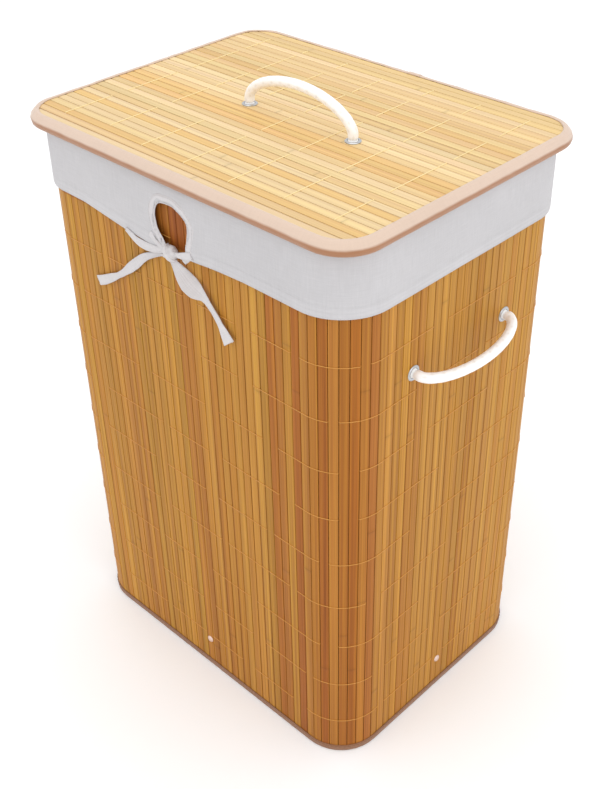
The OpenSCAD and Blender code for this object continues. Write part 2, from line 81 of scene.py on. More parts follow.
bpy.context.scene.view_settings.view_transform = "Standard"


# ---------------------------------------------------------------- studio
# A white paper floor, a pale room all round, one large soft box overhead, and two weaker ones that face
# the front wall and the right wall.
def feed(tree, target, inputs):
    """Fills a node's inputs. Each is a value, or (node, output) for a link from that node."""
    for entry, value in dict(inputs).items():
        if isinstance(value, tuple) and isinstance(value[0], bpy.types.Node):
            tree.links.new(value[0].outputs[value[1]], target.inputs[entry])
        else:
            target.inputs[entry].default_value = value


def add_node(tree, kind, inputs=(), **settings):
    """A shader node with its settings and inputs filled in."""
    made = tree.nodes.new("ShaderNode" + kind)
    for name, value in settings.items():
        setattr(made, name, value)
    feed(tree, made, inputs)
    return made


def ramp(tree, mask, first, last, start=0.0, end=1.0):
    """A colour that goes from first to last as the mask goes from start to end."""
    made = add_node(tree, "ValToRGB", {"Fac": mask})
    for stop, colour, place in zip(made.color_ramp.elements, (first, last), (start, end)):
        stop.color = colour
        stop.position = place
    return made, "Color"


def linear(red, green, blue):
    """A colour given as it looks on a screen, from 0 to 255, in the renderer's own scale."""
    def one(c):
        c /= 255
        return c / 12.92 if c <= 0.04045 else ((c + 0.055) / 1.055) ** 2.4
    return (one(red), one(green), one(blue), 1.0)


def new_material(name, inputs):
    """A material with one Principled BSDF, its node tree and that shader node."""
    made = bpy.data.materials.new(name)
    made.use_nodes = True
    shader = made.node_tree.nodes["Principled BSDF"]
    feed(made.node_tree, shader, inputs)
    return made, made.node_tree, shader


def mesh_piece(name, points, faces, material, smooth=True):
    """A mesh object at the origin, with its place in its points."""
    data = bpy.data.meshes.new(name)
    data.from_pydata([tuple(p) for p in points], [], faces)
    data.validate()
    data.materials.append(material)
    data.polygons.foreach_set("use_smooth", [smooth] * len(data.polygons))
    data.update()
    made = bpy.data.objects.new(name, data)
    bpy.context.scene.collection.objects.link(made)
    return made


paper, paper_tree, paper_shader = new_material("white_paper", {
    "Roughness": 0.9, "Specular IOR Level": 0.1, "Emission Color": (0.96, 0.98, 1.0, 1),
    "Emission Strength": 0.06})
paper_grain = add_node(paper_tree, "TexNoise", {"Scale": 900.0, "Detail": 3.0})
feed(paper_tree, paper_shader, {"Base Color": ramp(paper_tree, (paper_grain, "Fac"), (0.955, 0.96, 0.965, 1),
                                                   (0.98, 0.985, 0.99, 1))})
floor = mesh_piece("floor", [(-6, -6, 0), (6, -6, 0), (6, 6, 0), (-6, 6, 0)], [(0, 1, 2, 3)], paper)

room = bpy.data.worlds.new("pale_room")
room.use_nodes = True
feed(room.node_tree, room.node_tree.nodes["Background"], {"Color": (1.0, 1.0, 1.0, 1), "Strength": 1.0})
bpy.context.scene.world = room


def soft_box(name, place, target, size, watts):
    data = bpy.data.lights.new(name, "AREA")
    data.shape = "RECTANGLE"
    data.size = size[0]
    data.size_y = size[1]
    data.energy = watts
    made = bpy.data.objects.new(name, data)
    bpy.context.scene.collection.objects.link(made)
    made.location = place
    made.rotation_euler = (Vector(target) - Vector(place)).to_track_quat("-Z", "Y").to_euler()


soft_box("overhead_box", (0.1, -0.3, 3.0), (0, 0, 0.5), (2.6, 2.6), 16.0)
soft_box("front_box", (-1.1, -2.6, 1.7), (0, 0, 0.35), (1.6, 1.6), 4.0)
soft_box("side_box", (2.7, -0.2, 1.5), (0, 0, 0.35), (1.6, 1.6), 9.0)

# ---------------------------------------------------------------- rope handles
# Soft white braided rope, 9.5 mm thick. Each handle is one length that leaves an eyelet, bows out and
# goes back in through the other eyelet; a stopper knot inside holds each end.
rope_d = 0.0095
half_span = 0.0635
side_reach = 0.021
side_tilt = math.radians(76)
lid_rise = 0.027
flange_h = 0.0012
side_pivot = flange_h + 0.0003 + rope_d / 2
handle_z = 0.446
wall_x = 0.198
lid_top = 0.5987
lid_handle_at = Vector((0.012, -0.005, lid_top + side_pivot))


def raise_surface(tree, shader, height, strength, distance):
    """Fine relief from a height, which stands up by distance in metres."""
    relief = add_node(tree, "Bump", {"Strength": strength, "Distance": distance, "Height": height})
    feed(tree, shader, {"Normal": (relief, "Normal")})


def tube_faces(rings, sides, closed=False):
    """Four-sided faces between rings of points, and an end face on each end of an open tube."""
    faces = []
    for i in range(rings if closed else rings - 1):
        j = (i + 1) % rings
        for k in range(sides):
            n = (k + 1) % sides
            faces.append((i * sides + k, i * sides + n, j * sides + n, j * sides + k))
    if not closed:
        faces.append(tuple(range(sides - 1, -1, -1)))
        faces.append(tuple((rings - 1) * sides + k for k in range(sides)))
    return faces


def smooth_line(points, count):
    """count points evenly spaced along a smooth curve through the given points."""
    points = [Vector(p) for p in points]
    ends = [2 * points[0] - points[1]] + points + [2 * points[-1] - points[-2]]
    fine = []
    for i in range(1, len(ends) - 2):
        p0, p1, p2, p3 = ends[i - 1:i + 3]
        for step in range(24):
            t = step / 24
            fine.append(0.5 * (2 * p1 + (p2 - p0) * t + (2 * p0 - 5 * p1 + 4 * p2 - p3) * t * t
                               + (3 * p1 - p0 - 3 * p2 + p3) * t ** 3))
    fine.append(points[-1])
    runs = [0.0]
    for a, b in zip(fine, fine[1:]):
        runs.append(runs[-1] + (b - a).length)
    wanted = np.linspace(0, runs[-1], count)
    columns = [np.interp(wanted, runs, [p[axis] for p in fine]) for axis in range(3)]
    return [Vector(p) for p in zip(*columns)]


def line_length(points):
    return sum((b - a).length for a, b in zip(points, points[1:]))


def heading(line, i):
    """The way a line runs at its point i."""
    return (line[min(i + 1, len(line) - 1)] - line[max(i - 1, 0)]).normalized()


def fit(piece, body, slot, *nodes):
    """Fixes a finished piece to its body and hides the nodes it stands for; slot is not used."""
    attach(piece, body)
    if nodes:
        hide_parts(*nodes)


def join_parts(parts, name):
    """Makes one piece of several."""
    bpy.ops.object.select_all(action="DESELECT")
    for part in parts:
        part.select_set(True)
    bpy.context.view_layer.objects.active = parts[0]
    bpy.ops.object.join()
    parts[0].name = name
    return parts[0]


rope_cotton, rope_tree, rope_shader = new_material(
    "white_rope", {"Roughness": 0.4, "Specular IOR Level": 0.5, "Sheen Weight": 0.2})
rope_groove_shade = add_node(rope_tree, "Attribute", attribute_name="strand")
rope_fluff = add_node(rope_tree, "TexNoise", {"Scale": 1500.0, "Detail": 3.0})
# Painted shade: the rope is darker in the grooves between strands and lighter on their crowns.
feed(rope_tree, rope_shader, {"Base Color": ramp(rope_tree, (rope_groove_shade, "Fac"), linear(240, 236, 231),
                                                 linear(252, 251, 250), 0.0, 0.55)})
raise_surface(rope_tree, rope_shader, (rope_fluff, "Fac"), 0.35, 0.0002)


def braided_rope(name, line, across, diameter, taper=True):
    """A round rope along a flat line; across is the flat's normal. Eight strands cross in its sleeve."""
    sides = 32
    ring_gap = 0.0007
    braid_turn = 0.022
    strand_depth = 0.015
    length = line_length(line)
    rings = int(length / ring_gap)
    spots = smooth_line(line, rings)
    across = Vector(across).normalized()
    points = []
    tones = []
    run = 0.0
    for i, spot in enumerate(spots):
        side = across.cross(heading(spots, i))
        run += 0 if i == 0 else (spot - spots[i - 1]).length
        end_gap = min(run, length - run)
        swell = math.sqrt(max(0.02, 1 - (1 - min(1, end_gap / (diameter / 2))) ** 2)) if taper else 1
        turn = run / braid_turn * 2 * math.pi
        for k in range(sides):
            angle = 2 * math.pi * k / sides
            strand = max(math.cos(4 * angle + turn * 2), math.cos(4 * angle - turn * 2))
            radius = diameter / 2 * swell * (1 - strand_depth + strand_depth * strand)
            points.append(spot + radius * (math.cos(angle) * side + math.sin(angle) * across))
            # The painted shade for the grooves between strands, stored as the strand attribute.
            tones.append(0.5 + 0.5 * strand)
    made = mesh_piece(name, points, tube_faces(rings, sides), rope_cotton)
    made.data.attributes.new("strand", "FLOAT", "POINT").data.foreach_set("value", tones)
    return made


def bow_line(rise):
    """Half an oval over the handle's span, on straight stems that go down into the eyelets."""
    stem = 0.0062
    arch = [(half_span * math.sin(math.radians(t)), rise * max(0.0, math.cos(math.radians(t))) ** 1.15)
            for t in range(-90, 91, 9)]
    start = [(-half_span, -stem), (-half_span, -stem / 2)]
    return start + arch + [(half_span, -stem / 2), (half_span, -stem)]


def rope_handle(name, centre, outward, stem_way, across, node):
    """One handle: its bow lies in the plane of outward, and its stems turn into the eyelets."""
    centre, outward, stem_way, across = (Vector(v) for v in (centre, outward, stem_way, across))
    rise = lid_rise if node == "lid_rope_handle" else side_reach
    line = [centre + across * s + (outward if r > 0 else stem_way) * r for s, r in bow_line(rise)]
    made = braided_rope(name, line, outward.cross(across), rope_d)
    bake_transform(made)
    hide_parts(node)


for side, way in (("right", 1), ("left", -1)):
    rope_handle(f"{side}_handle_rope", (way * (wall_x + side_pivot), 0, handle_z),
                (way * math.sin(side_tilt), 0, -math.cos(side_tilt)), (way, 0, 0), (0, way, 0),
                f"{side}_rope_handle")
rope_handle("lid_handle_rope", lid_handle_at, (0, 0, 1), (0, 0, 1), (1, 0, 0),
            "lid_rope_handle")


def knotted_end(name, body, places, inward, grip, node):
    """The rope inside: it comes through the eyelet and turns round itself in a stopper knot."""
    knot_turns = 1.6
    inward = Vector(inward)
    side = Vector((0, 0, 1)) if abs(inward.z) < 0.5 else Vector((1, 0, 0))
    other = inward.cross(side)
    parts = []
    for n, place in enumerate(places):
        place = Vector(place)
        stem = [place - inward * 0.0012 + inward * (t * (grip + 0.0022)) for t in (0, 0.5, 1)]
        knot = []
        for step in range(33):
            angle = step / 32 * 2 * math.pi * knot_turns
            reach = 0.0045 + 0.0009 * math.sin(2 * angle)
            deep = grip + 0.0036 + 0.0058 * step / 32 + 0.0008 * math.sin(3 * angle)
            knot.append(place + inward * deep + side * (reach * math.cos(angle))
                        + other * (reach * math.sin(angle)))
        parts.append(braided_rope(f"{name}_stem_{n}", stem, side, rope_d * 0.99, taper=False))
        parts.append(braided_rope(f"{name}_loop_{n}", knot, inward, rope_d * 0.8))
    fit(join_parts(parts, name), body, "white_rope", node)


wall_t = 0.0026
lid_grip = 0.0066
lid_eyelets = [Vector((lid_handle_at.x + s * half_span, lid_handle_at.y, lid_top)) for s in (-1, 1)]
for side, way in (("right", 1), ("left", -1)):
    knotted_end(f"{side}_rope_knots", "shell", [(way * wall_x, s * half_span, handle_z) for s in (-1, 1)],
                (-way, 0, 0), wall_t, f"{side}_rope_ends")
knotted_end("lid_rope_knots", "lid", lid_eyelets, (0, 0, -1), lid_grip, "lid_rope_ends")

# ---------------------------------------------------------------- tie tails
# The two loose ends of the cotton tape that draws the keyhole shut. Each is folded double and sewn
# along its open edge, and hangs from the knot down the front wall.
knot_at = Vector((0, -0.1528, 0.5227))
tail_y = -0.1501
tie_w = 0.009
tie_t = 0.0016
left_tail = [(-3, -2, 5), (-9, -5, 3), (-16, -7, 0), (-28, -12.5, 0), (-41, -20, 0), (-54, -31, 0),
             (-67, -42, 0), (-78, -51, 0), (-88, -57.5, 0), (-99, -64, 0), (-108, -69, 0), (-116, -72.5, 0)]
left_tail_w = [0.4, 0.5, 0.6, 0.75, 0.95, 1.1, 1.05, 0.75, 0.65, 0.95, 1.1, 1.15]
left_tail_turn = [(0, -1, 0), (0, -1, 0)]
right_tail = [(4, -3, 5), (10, -8, 5), (18, -14, 5.5), (26, -19, 6), (33, -23.5, 5), (40, -29, 2),
              (46, -35.5, 1), (52, -42.5, 0.5), (58.5, -50, 1), (64, -57, 1.5), (68, -62, 2)]
right_tail_w = [0.5, 1.0, 1.5, 1.8, 1.65, 0.9, 0.75, 0.7, 0.85, 1.15, 1.35]
right_tail_turn = [(0.2, -0.9, 0.3), (0.5, -0.7, 0.5), (0.57, -0.6, 0.56), (0.57, -0.6, 0.56),
                   (0.4, -0.8, 0.4), (0.1, -1, 0.1), (0, -1, 0), (0, -1, 0), (0.1, -1, 0.1), (0.2, -1, 0.2)]


def maths(tree, operation, *inputs):
    """A sum on values or on (node, output) pairs."""
    return add_node(tree, "Math", dict(enumerate(inputs)), operation=operation), 0


def own_noise(tree, inputs):
    """Noise laid out by the piece's own place."""
    return add_node(tree, "TexNoise", {"Vector": (add_node(tree, "TexCoord"), "Object"), **inputs}), "Fac"


def new_group(name, entries):
    """An empty node group that puts out a colour, a height and a roughness."""
    group = bpy.data.node_groups.new(name, "ShaderNodeTree")
    for entry, kind in entries.items():
        group.interface.new_socket(entry, in_out="INPUT", socket_type="NodeSocket" + kind)
    for entry, kind in (("Colour", "Color"), ("Height", "Float"), ("Roughness", "Float")):
        group.interface.new_socket(entry, in_out="OUTPUT", socket_type="NodeSocket" + kind)
    return group, group.nodes.new("NodeGroupInput"), group.nodes.new("NodeGroupOutput")


def weave_group():
    """Plain cloth: crossing threads, uneven yarn and faint clouding, laid out by the piece's cloth map."""
    group, given, result = new_group("cloth_weave", {"Thread colour": "Color", "Threads per metre": "Float",
                                                     "Unevenness": "Float"})
    layout = (add_node(group, "Attribute", attribute_name="cloth_map"), "Vector")
    split = add_node(group, "SeparateXYZ", {"Vector": layout})
    half_turns = maths(group, "MULTIPLY", (given, "Threads per metre"), math.pi)
    ridges = []
    yarn = []
    for axis, stretch in (("X", (60.0, 900.0, 1.0)), ("Y", (900.0, 60.0, 1.0))):
        wave = maths(group, "SINE", maths(group, "MULTIPLY", (split, axis), half_turns))
        ridges.append(maths(group, "ABSOLUTE", wave))
        spread = add_node(group, "VectorMath", {0: layout, 1: stretch}, operation="MULTIPLY")
        slub = add_node(group, "TexNoise", {"Vector": (spread, 0), "Scale": 1.0, "Detail": 2.0})
        yarn.append((slub, "Fac"))
    height = maths(group, "MULTIPLY", *ridges)
    cloud = own_noise(group, {"Scale": 14.0, "Detail": 3.0})
    centred = maths(group, "SUBTRACT", maths(group, "ADD", maths(group, "ADD", *yarn), cloud), 1.5)
    value = maths(group, "ADD", maths(group, "MULTIPLY", centred, (given, "Unevenness")),
                  maths(group, "MULTIPLY_ADD", height, 0.1, 0.93))
    tint = add_node(group, "HueSaturation", {"Color": (given, "Thread colour"), "Value": value})
    rough = add_node(group, "MapRange", {"Value": height, "To Min": 0.95, "To Max": 0.75})
    feed(group, result, {"Colour": (tint, "Color"), "Height": height, "Roughness": (rough, "Result")})
    return group


weave = weave_group()


def cloth_material(name, colour, per_metre, unevenness, bump, sheen=0.15):
    """A woven cloth in one colour. bump is how far the threads stand up, in metres."""
    made, tree, shader = new_material(name, {"Specular IOR Level": 0.25, "Sheen Weight": sheen,
                                             "Sheen Roughness": 0.5})
    cloth = add_node(tree, "Group", {"Thread colour": colour, "Threads per metre": per_metre,
                                     "Unevenness": unevenness}, node_tree=weave)
    feed(tree, shader, {"Base Color": (cloth, "Colour"), "Roughness": (cloth, "Roughness")})
    raise_surface(tree, shader, (cloth, "Height"), 0.6, bump)
    return made


def cloth_map(piece, places):
    """Stores where each face corner lies on the flat cloth, in metres, one pair for each corner."""
    layer = piece.data.uv_layers.new(name="cloth_map")
    layer.uv.foreach_set("vector", np.array(places, np.float32).ravel())


def tube_map(rings, sides, around, along):
    """The cloth map of tube_faces: around and along are the whole girth and length in metres."""
    places = []
    for i in range(rings - 1):
        for k in range(sides):
            u0, u1 = k / sides * around, (k + 1) / sides * around
            v0, v1 = i / (rings - 1) * along, (i + 1) / (rings - 1) * along
            places += [(u0, v0), (u1, v0), (u1, v1), (u0, v1)]
    places += [(0, 0)] * sides
    places += [(0, along)] * sides
    return places


tape_cotton = cloth_material("tie_cotton", linear(212, 208, 209), 1700.0, 0.14, 0.0002)


def flat_tape(name, line, widths, outward, thick, cup=0.0, samples=60, ragged=0.0, seed=1):
    """A soft flat tape: rounded edges, a sewn ridge along one side and a slight curl. outward is the way
    its face looks, or several such ways along it."""
    spots = smooth_line(line, samples)
    if isinstance(outward[0], (int, float)):
        outward = [outward, outward]
    table = np.array(outward, float)
    steps = np.linspace(0, len(table) - 1, samples)
    ways = [Vector([np.interp(s, range(len(table)), table[:, axis]) for axis in range(3)]).normalized()
            for s in steps]
    draw = random.Random(seed)
    shares = np.interp(np.linspace(0, 1, samples), np.linspace(0, 1, len(widths)), widths)
    sides = 20
    points = []
    for i, spot in enumerate(spots):
        ahead = heading(spots, i)
        outward = ways[i]
        side = outward.cross(ahead).normalized()
        half = shares[i] * tie_w / 2
        tight = max(0.0, 1 - shares[i])
        for k in range(sides):
            angle = 2 * math.pi * k / sides
            u = math.copysign(abs(math.cos(angle)) ** 0.7, math.cos(angle))
            v = math.copysign(abs(math.sin(angle)) ** 0.8, math.sin(angle))
            fold = cup * (u * u) + 0.0007 * tight * math.sin(5 * u + i * 0.3)
            ridge = 0.00018 if 0.55 < u < 0.75 and v > 0 else 0.0
            swell = thick / 2 * v * (1 + 0.5 * tight)
            wave = 0.0003 * noise.noise(Vector((i * 0.15, u * 1.2, seed)))
            jag = ragged * draw.uniform(-1, 1) if i in (0, samples - 1) else 0.0
            points.append(spot + side * (half * u) + ahead * jag + outward * (swell + fold + ridge + wave))
    made = mesh_piece(name, points, tube_faces(samples, sides), tape_cotton)
    cloth_map(made, tube_map(samples, sides, 2 * tie_w, line_length(spots)))
    return made, spots


def tie_tail(name, route, widths, turn, node, cup, seed):
    """One loose end. Its route is in millimetres from the knot: across, up and off the wall."""
    line = [Vector((x / 1000, tail_y - off / 1000, knot_at.z + z / 1000)) for x, z, off in route]
    made, spots = flat_tape(name, line, widths, turn, tie_t * 0.9, cup=cup, ragged=0.0006, seed=seed)
    fit(made, "liner", "cotton_tape", node)


tie_tail("tie_tail_left_tape", left_tail, left_tail_w, left_tail_turn, "tie_tail_left", 0.0005, 3)
tie_tail("tie_tail_right_tape", right_tail, right_tail_w, right_tail_turn, "tie_tail_right", 0.0007, 8)

# ---------------------------------------------------------------- wall slats
# Flat strips of lacquered bamboo, split from the cane and planed, so each has its own tone, a long
# grain and now and then the ring of a joint in the cane. They stand side by side all round.
wall_w = 0.396
wall_d = 0.296
corner_r = 0.046
slat_z0 = 0.0036
slat_z1 = 0.5828
slat_t = 0.0018
slat_gap = 0.0008
slat_pitch = 0.0095
corner_steps = 8
corner_turn = math.radians(90 / corner_steps)
facet_w = 2 * corner_r * math.tan(corner_turn / 2)
wall_tones = [(184, 131, 55), (180, 126, 50), (177, 121, 46), (187, 136, 60), (182, 129, 54), (175, 117, 44),
              (179, 124, 48), (185, 132, 52)]
corner_tones = [(173, 112, 46), (168, 105, 39), (164, 100, 36), (175, 117, 50)]
covered_z = 0.527

side_order = ("front", "front_right", "right", "back_right", "back", "back_left", "left", "front_left")


def grain_group():
    """Split cane: long fibres with darker streaks, and a lacquer that is duller over the fibres."""
    group, given, result = new_group("bamboo_grain", {"Slat colour": "Color", "Stretch": "Vector",
                                                      "Streak": "Float"})
    place = (add_node(group, "TexCoord"), "Object")
    spread = add_node(group, "VectorMath", {0: place, 1: (given, "Stretch")}, operation="MULTIPLY")
    wide = add_node(group, "VectorMath", {0: (spread, 0), "Scale": 0.28}, operation="SCALE")
    fibre = (add_node(group, "TexNoise", {"Vector": (spread, 0), "Scale": 1.0, "Detail": 5.0,
                                          "Roughness": 0.6}), "Fac")
    streak = (add_node(group, "TexNoise", {"Vector": (wide, 0), "Scale": 1.0, "Detail": 2.0}), "Fac")
    centred = maths(group, "SUBTRACT", maths(group, "ADD", fibre, streak), 1.0)
    value = maths(group, "MULTIPLY_ADD", centred, (given, "Streak"), 1.0)
    usual = {"From Min": 0.3, "From Max": 0.7}
    hue = add_node(group, "MapRange", {"Value": streak, **usual, "To Min": 0.494, "To Max": 0.506})
    rough = add_node(group, "MapRange", {"Value": fibre, **usual, "To Min": 0.58, "To Max": 0.4})
    tint = add_node(group, "HueSaturation", {"Color": (given, "Slat colour"), "Value": value,
                                             "Hue": (hue, "Result")})
    feed(group, result, {"Colour": (tint, "Color"), "Height": fibre, "Roughness": (rough, "Result")})
    return group


grain = grain_group()


def bamboo_material(name, stretch, streak, lacquer):
    """Bamboo whose base tone is stored slat by slat. stretch is the grain's scale along X, Y and Z."""
    made, tree, shader = new_material(name, {"Specular IOR Level": 0.14, "Coat Weight": lacquer,
                                             "Coat Roughness": 0.3})
    tone = add_node(tree, "Attribute", attribute_name="slat_colour")
    cane = add_node(tree, "Group", {"Stretch": stretch, "Streak": streak, "Slat colour": (tone, "Color")},
                    node_tree=grain)
    feed(tree, shader, {"Base Color": (cane, "Colour"), "Roughness": (cane, "Roughness")})
    raise_surface(tree, shader, (cane, "Height"), 0.5, 0.00015)
    return made


class SlatMat:
    """Collects slats into one mesh, with the colour of each."""

    def __init__(self, seed):
        self.draw = random.Random(seed)
        self.points = []
        self.faces = []
        self.colours = []

    def add(self, middle, along, across, width, length, tones, shaded=None, ends=None):
        """One slat whose front face has its middle at middle; its grain runs along. Past shaded, a distance
        along it, its colour is darkened and reddened as painted shade under the collar; with shaded given, it
        also grows darker and redder towards its bottom. ends gives half its length at a place across it."""
        draw = self.draw
        joint_gap = 0.3
        joint_swell = 0.004
        joint_ring = 0.0016
        front = across.cross(along).normalized()
        shade = draw.uniform(0.975, 1.02)
        width += draw.uniform(-0.0001, 0.0003)
        tone = [c * shade + draw.uniform(-2, 2) for c in draw.choice(tones)]
        warm = draw.uniform(-0.05, 0.05)
        joints = []
        spot = draw.uniform(0.02, joint_gap)
        while spot < length - 0.01:
            if draw.random() < 0.4:
                joints.append(spot)
            spot += draw.uniform(0.8, 1.25) * joint_gap
        stations = set(np.linspace(0, length, max(4, int(length / 0.032))).round(5))
        for joint in joints:
            for shift in (-joint_swell, -0.0012, 0.0, 0.0012, joint_swell):
                if 0 < joint + shift < length:
                    stations.add(round(joint + shift, 5))
        if shaded is not None:
            stations.update((round(shaded - 0.001, 5), round(shaded + 0.001, 5)))
        stations = sorted(stations)
        bevel = 0.00032
        half = width / 2
        outline = [(-half, -slat_t), (-half, -bevel), (-half + bevel, 0), (-half / 3, 0.00006),
                   (half / 3, 0.00006), (half - bevel, 0), (half, -bevel), (half, -slat_t)]
        base = len(self.points)
        phase = draw.uniform(0, 50)
        for run in stations:
            near = min((abs(run - joint) for joint in joints), default=1)
            bump = 0.00016 * max(0, 1 - near / joint_swell)
            ring = max(0, 1 - near / joint_ring)
            sway = 0.00012 * noise.noise(Vector((phase, run * 9, 0)))
            lift = 0.00014 * noise.noise(Vector((0, run * 9, phase)))
            along_tone = 1 + warm * (run / length - 0.5) - 0.1 * ring
            for a, b in outline:
                stand = bump if b > -bevel else 0
                reach = 2 * ends(a) / length if ends else 1
                self.points.append(middle + along * ((run - length / 2) * reach) + across * (a + sway)
                                   + front * (b + stand + min(0, lift)))
                rgb = [min(255, max(0, c * along_tone)) for c in tone]
                # With shaded given, the colour grows darker and redder towards the slat's bottom.
                if shaded is not None:
                    rgb = [c * (1 - pale * (1 - run / length)) for c, pale in zip(rgb, (0.02, 0.05, 0.12))]
                # Painted shade: past shaded, where the collar hangs over the wall, the slat is darkened and
                # reddened.
                if shaded is not None and run > shaded:
                    rgb = [c * dark for c, dark in zip(rgb, (0.86, 0.72, 0.66))]
                self.colours.append(linear(*rgb))
        for face in tube_faces(len(stations), len(outline)):
            self.faces.append(tuple(base + v for v in face))

    def build(self, name, material):
        made = mesh_piece(name, self.points, self.faces, material, smooth=False)
        layer = made.data.color_attributes.new("slat_colour", "FLOAT_COLOR", "POINT")
        layer.data.foreach_set("color", [c for colour in self.colours for c in colour])
        return made


def wall_places(side):
    """Middle, outward and across ways and width of each slat of one wall or corner, in order."""
    turn = side_order.index(side)
    angle = math.radians(turn // 2 * 90 - 90)
    places = []
    if turn % 2 == 0:
        run = (wall_w if turn % 4 == 0 else wall_d) - 2 * corner_r + facet_w
        count = round(run / slat_pitch)
        reach = (wall_d if turn % 4 == 0 else wall_w) / 2
        outward = Vector((math.cos(angle), math.sin(angle), 0))
        across = Vector((-math.sin(angle), math.cos(angle), 0))
        for i in range(count):
            places.append((outward * reach + across * ((i - (count - 1) / 2) * run / count), outward, across,
                           run / count - slat_gap))
    else:
        x = 1 if side.endswith("right") else -1
        y = 1 if side.startswith("back") else -1
        centre = Vector((x * (wall_w / 2 - corner_r), y * (wall_d / 2 - corner_r), 0))
        for k in range(1, corner_steps):
            outward = Vector((math.cos(angle + k * corner_turn), math.sin(angle + k * corner_turn), 0))
            across = Vector((-outward.y, outward.x, 0))
            places.append((centre + outward * corner_r, outward, across, facet_w - slat_gap))
    return places


wall_bamboo = bamboo_material("wall_bamboo", (1100.0, 1100.0, 6.0), 0.85, 0.03)
redden_x = 0.11


def stand_slats(name, sides, seed):
    """The upright slats of one or more sides. Some on the right of the front are as red as the corner."""
    slats = SlatMat(seed)
    for side in sides:
        for middle, outward, across, width in wall_places(side):
            lifted = middle + Vector((0, 0, (slat_z0 + slat_z1) / 2))
            reddish = side == "front" and middle.x > redden_x and slats.draw.random() < 0.6
            # shaded marks where the painted shade under the collar begins.
            slats.add(lifted, Vector((0, 0, 1)), across, width, slat_z1 - slat_z0,
                      corner_tones if side == "front_right" or reddish else wall_tones,
                      shaded=covered_z - slat_z0)
    return slats.build(name, wall_bamboo)


def cut_holes(piece, holes):
    """Drills round holes through a mat: each is its middle, its direction and its radius."""
    for place, way, radius in holes:
        bpy.ops.mesh.primitive_cylinder_add(vertices=40, radius=radius, depth=0.01, location=place,
                                            rotation=Vector(way).to_track_quat("Z", "Y").to_euler())
        drill = bpy.context.object
        cut = piece.modifiers.new("bore", "BOOLEAN")
        cut.object = drill
        cut.solver = "EXACT"
        bpy.context.view_layer.objects.active = piece
        bpy.ops.object.modifier_apply(modifier=cut.name)
        bpy.data.objects.remove(drill)


def bore(piece, holes, along):
    """Drills slats. The new edges take the colour of the slat they cut, whose grain runs along."""
    squeeze = Vector((1, 1, 1)) - 0.98 * Vector(along)
    before = KDTree(len(piece.data.vertices))
    colours = [tuple(entry.color) for entry in piece.data.color_attributes["slat_colour"].data]
    for vertex in piece.data.vertices:
        before.insert(vertex.co * squeeze, vertex.index)
    before.balance()
    cut_holes(piece, holes)
    layer = piece.data.color_attributes["slat_colour"]
    for vertex, entry in zip(piece.data.vertices, layer.data):
        entry.color = colours[before.find(vertex.co * squeeze)[1]]


eyelet_bore = 0.00565
rivet_bore = 0.0016
rivet_z = 0.040
for name, sides, seed in (("front_slats", ["front"], 11), ("back_slats", ["back"], 12),
                          ("right_slats", ["right"], 13), ("left_slats", ["left"], 14),
                          ("corner_slats", ["front_right", "back_right", "back_left", "front_left"], 15)):
    made = stand_slats(name.replace("_slats", "_bamboo"), sides, seed)
    if name in ("right_slats", "left_slats"):
        x = wall_x if name == "right_slats" else -wall_x
        bore(made, [((x, s * half_span, handle_z), (1, 0, 0), eyelet_bore) for s in (-1, 1)]
             + [((x, 0, rivet_z), (1, 0, 0), rivet_bore)], (0, 0, 1))
    if name == "front_slats":
        bore(made, [((0, -wall_d / 2, rivet_z), (0, 1, 0), rivet_bore)], (0, 0, 1))
    fit(made, "shell", "wall_bamboo", name)


# ---------------------------------------------------------------- wall threads and backing
# Fine thread ties the slats into a mat: it runs over a few slats, dips into a gap, passes behind the
# next ones and comes up again. Brown cloth is glued behind the slats and a tape closes the tube.
def dress(node, material):
    """Gives a CAD node a finished material."""
    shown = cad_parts[node]
    shown.data.materials.clear()
    shown.data.materials.append(material)


class ThreadWork:
    """Collects thin threads into one mesh."""

    def __init__(self):
        self.points = []
        self.faces = []

    def add(self, line, radius, up_way, sides=6):
        base = len(self.points)
        up_way = Vector(up_way)
        for i, spot in enumerate(line):
            side = up_way.cross(heading(line, i)).normalized()
            for k in range(sides):
                angle = 2 * math.pi * (k + 0.5) / sides
                self.points.append(spot + radius * (math.cos(angle) * side + math.sin(angle) * up_way))
        for face in tube_faces(len(line), sides):
            self.faces.append(tuple(base + v for v in face))

    def build(self, name, material):
        return mesh_piece(name, self.points, self.faces, material)


def mottled(tree, colour, mask, limits):
    """A colour made lighter and darker by a mask."""
    value = add_node(tree, "MapRange", {"Value": mask, **limits})
    return add_node(tree, "HueSaturation", {"Color": colour, "Value": (value, "Result")}), "Color"


def thread_material(name, colour):
    """Twisted cotton thread."""
    made, tree, shader = new_material(name, {"Roughness": 0.45, "Specular IOR Level": 0.5})
    twist = own_noise(tree, {"Scale": 2500.0, "Detail": 2.0})
    feed(tree, shader, {"Base Color": mottled(tree, colour, twist, {"To Min": 0.85, "To Max": 1.12})})
    raise_surface(tree, shader, twist, 0.4, 0.0001)
    return made


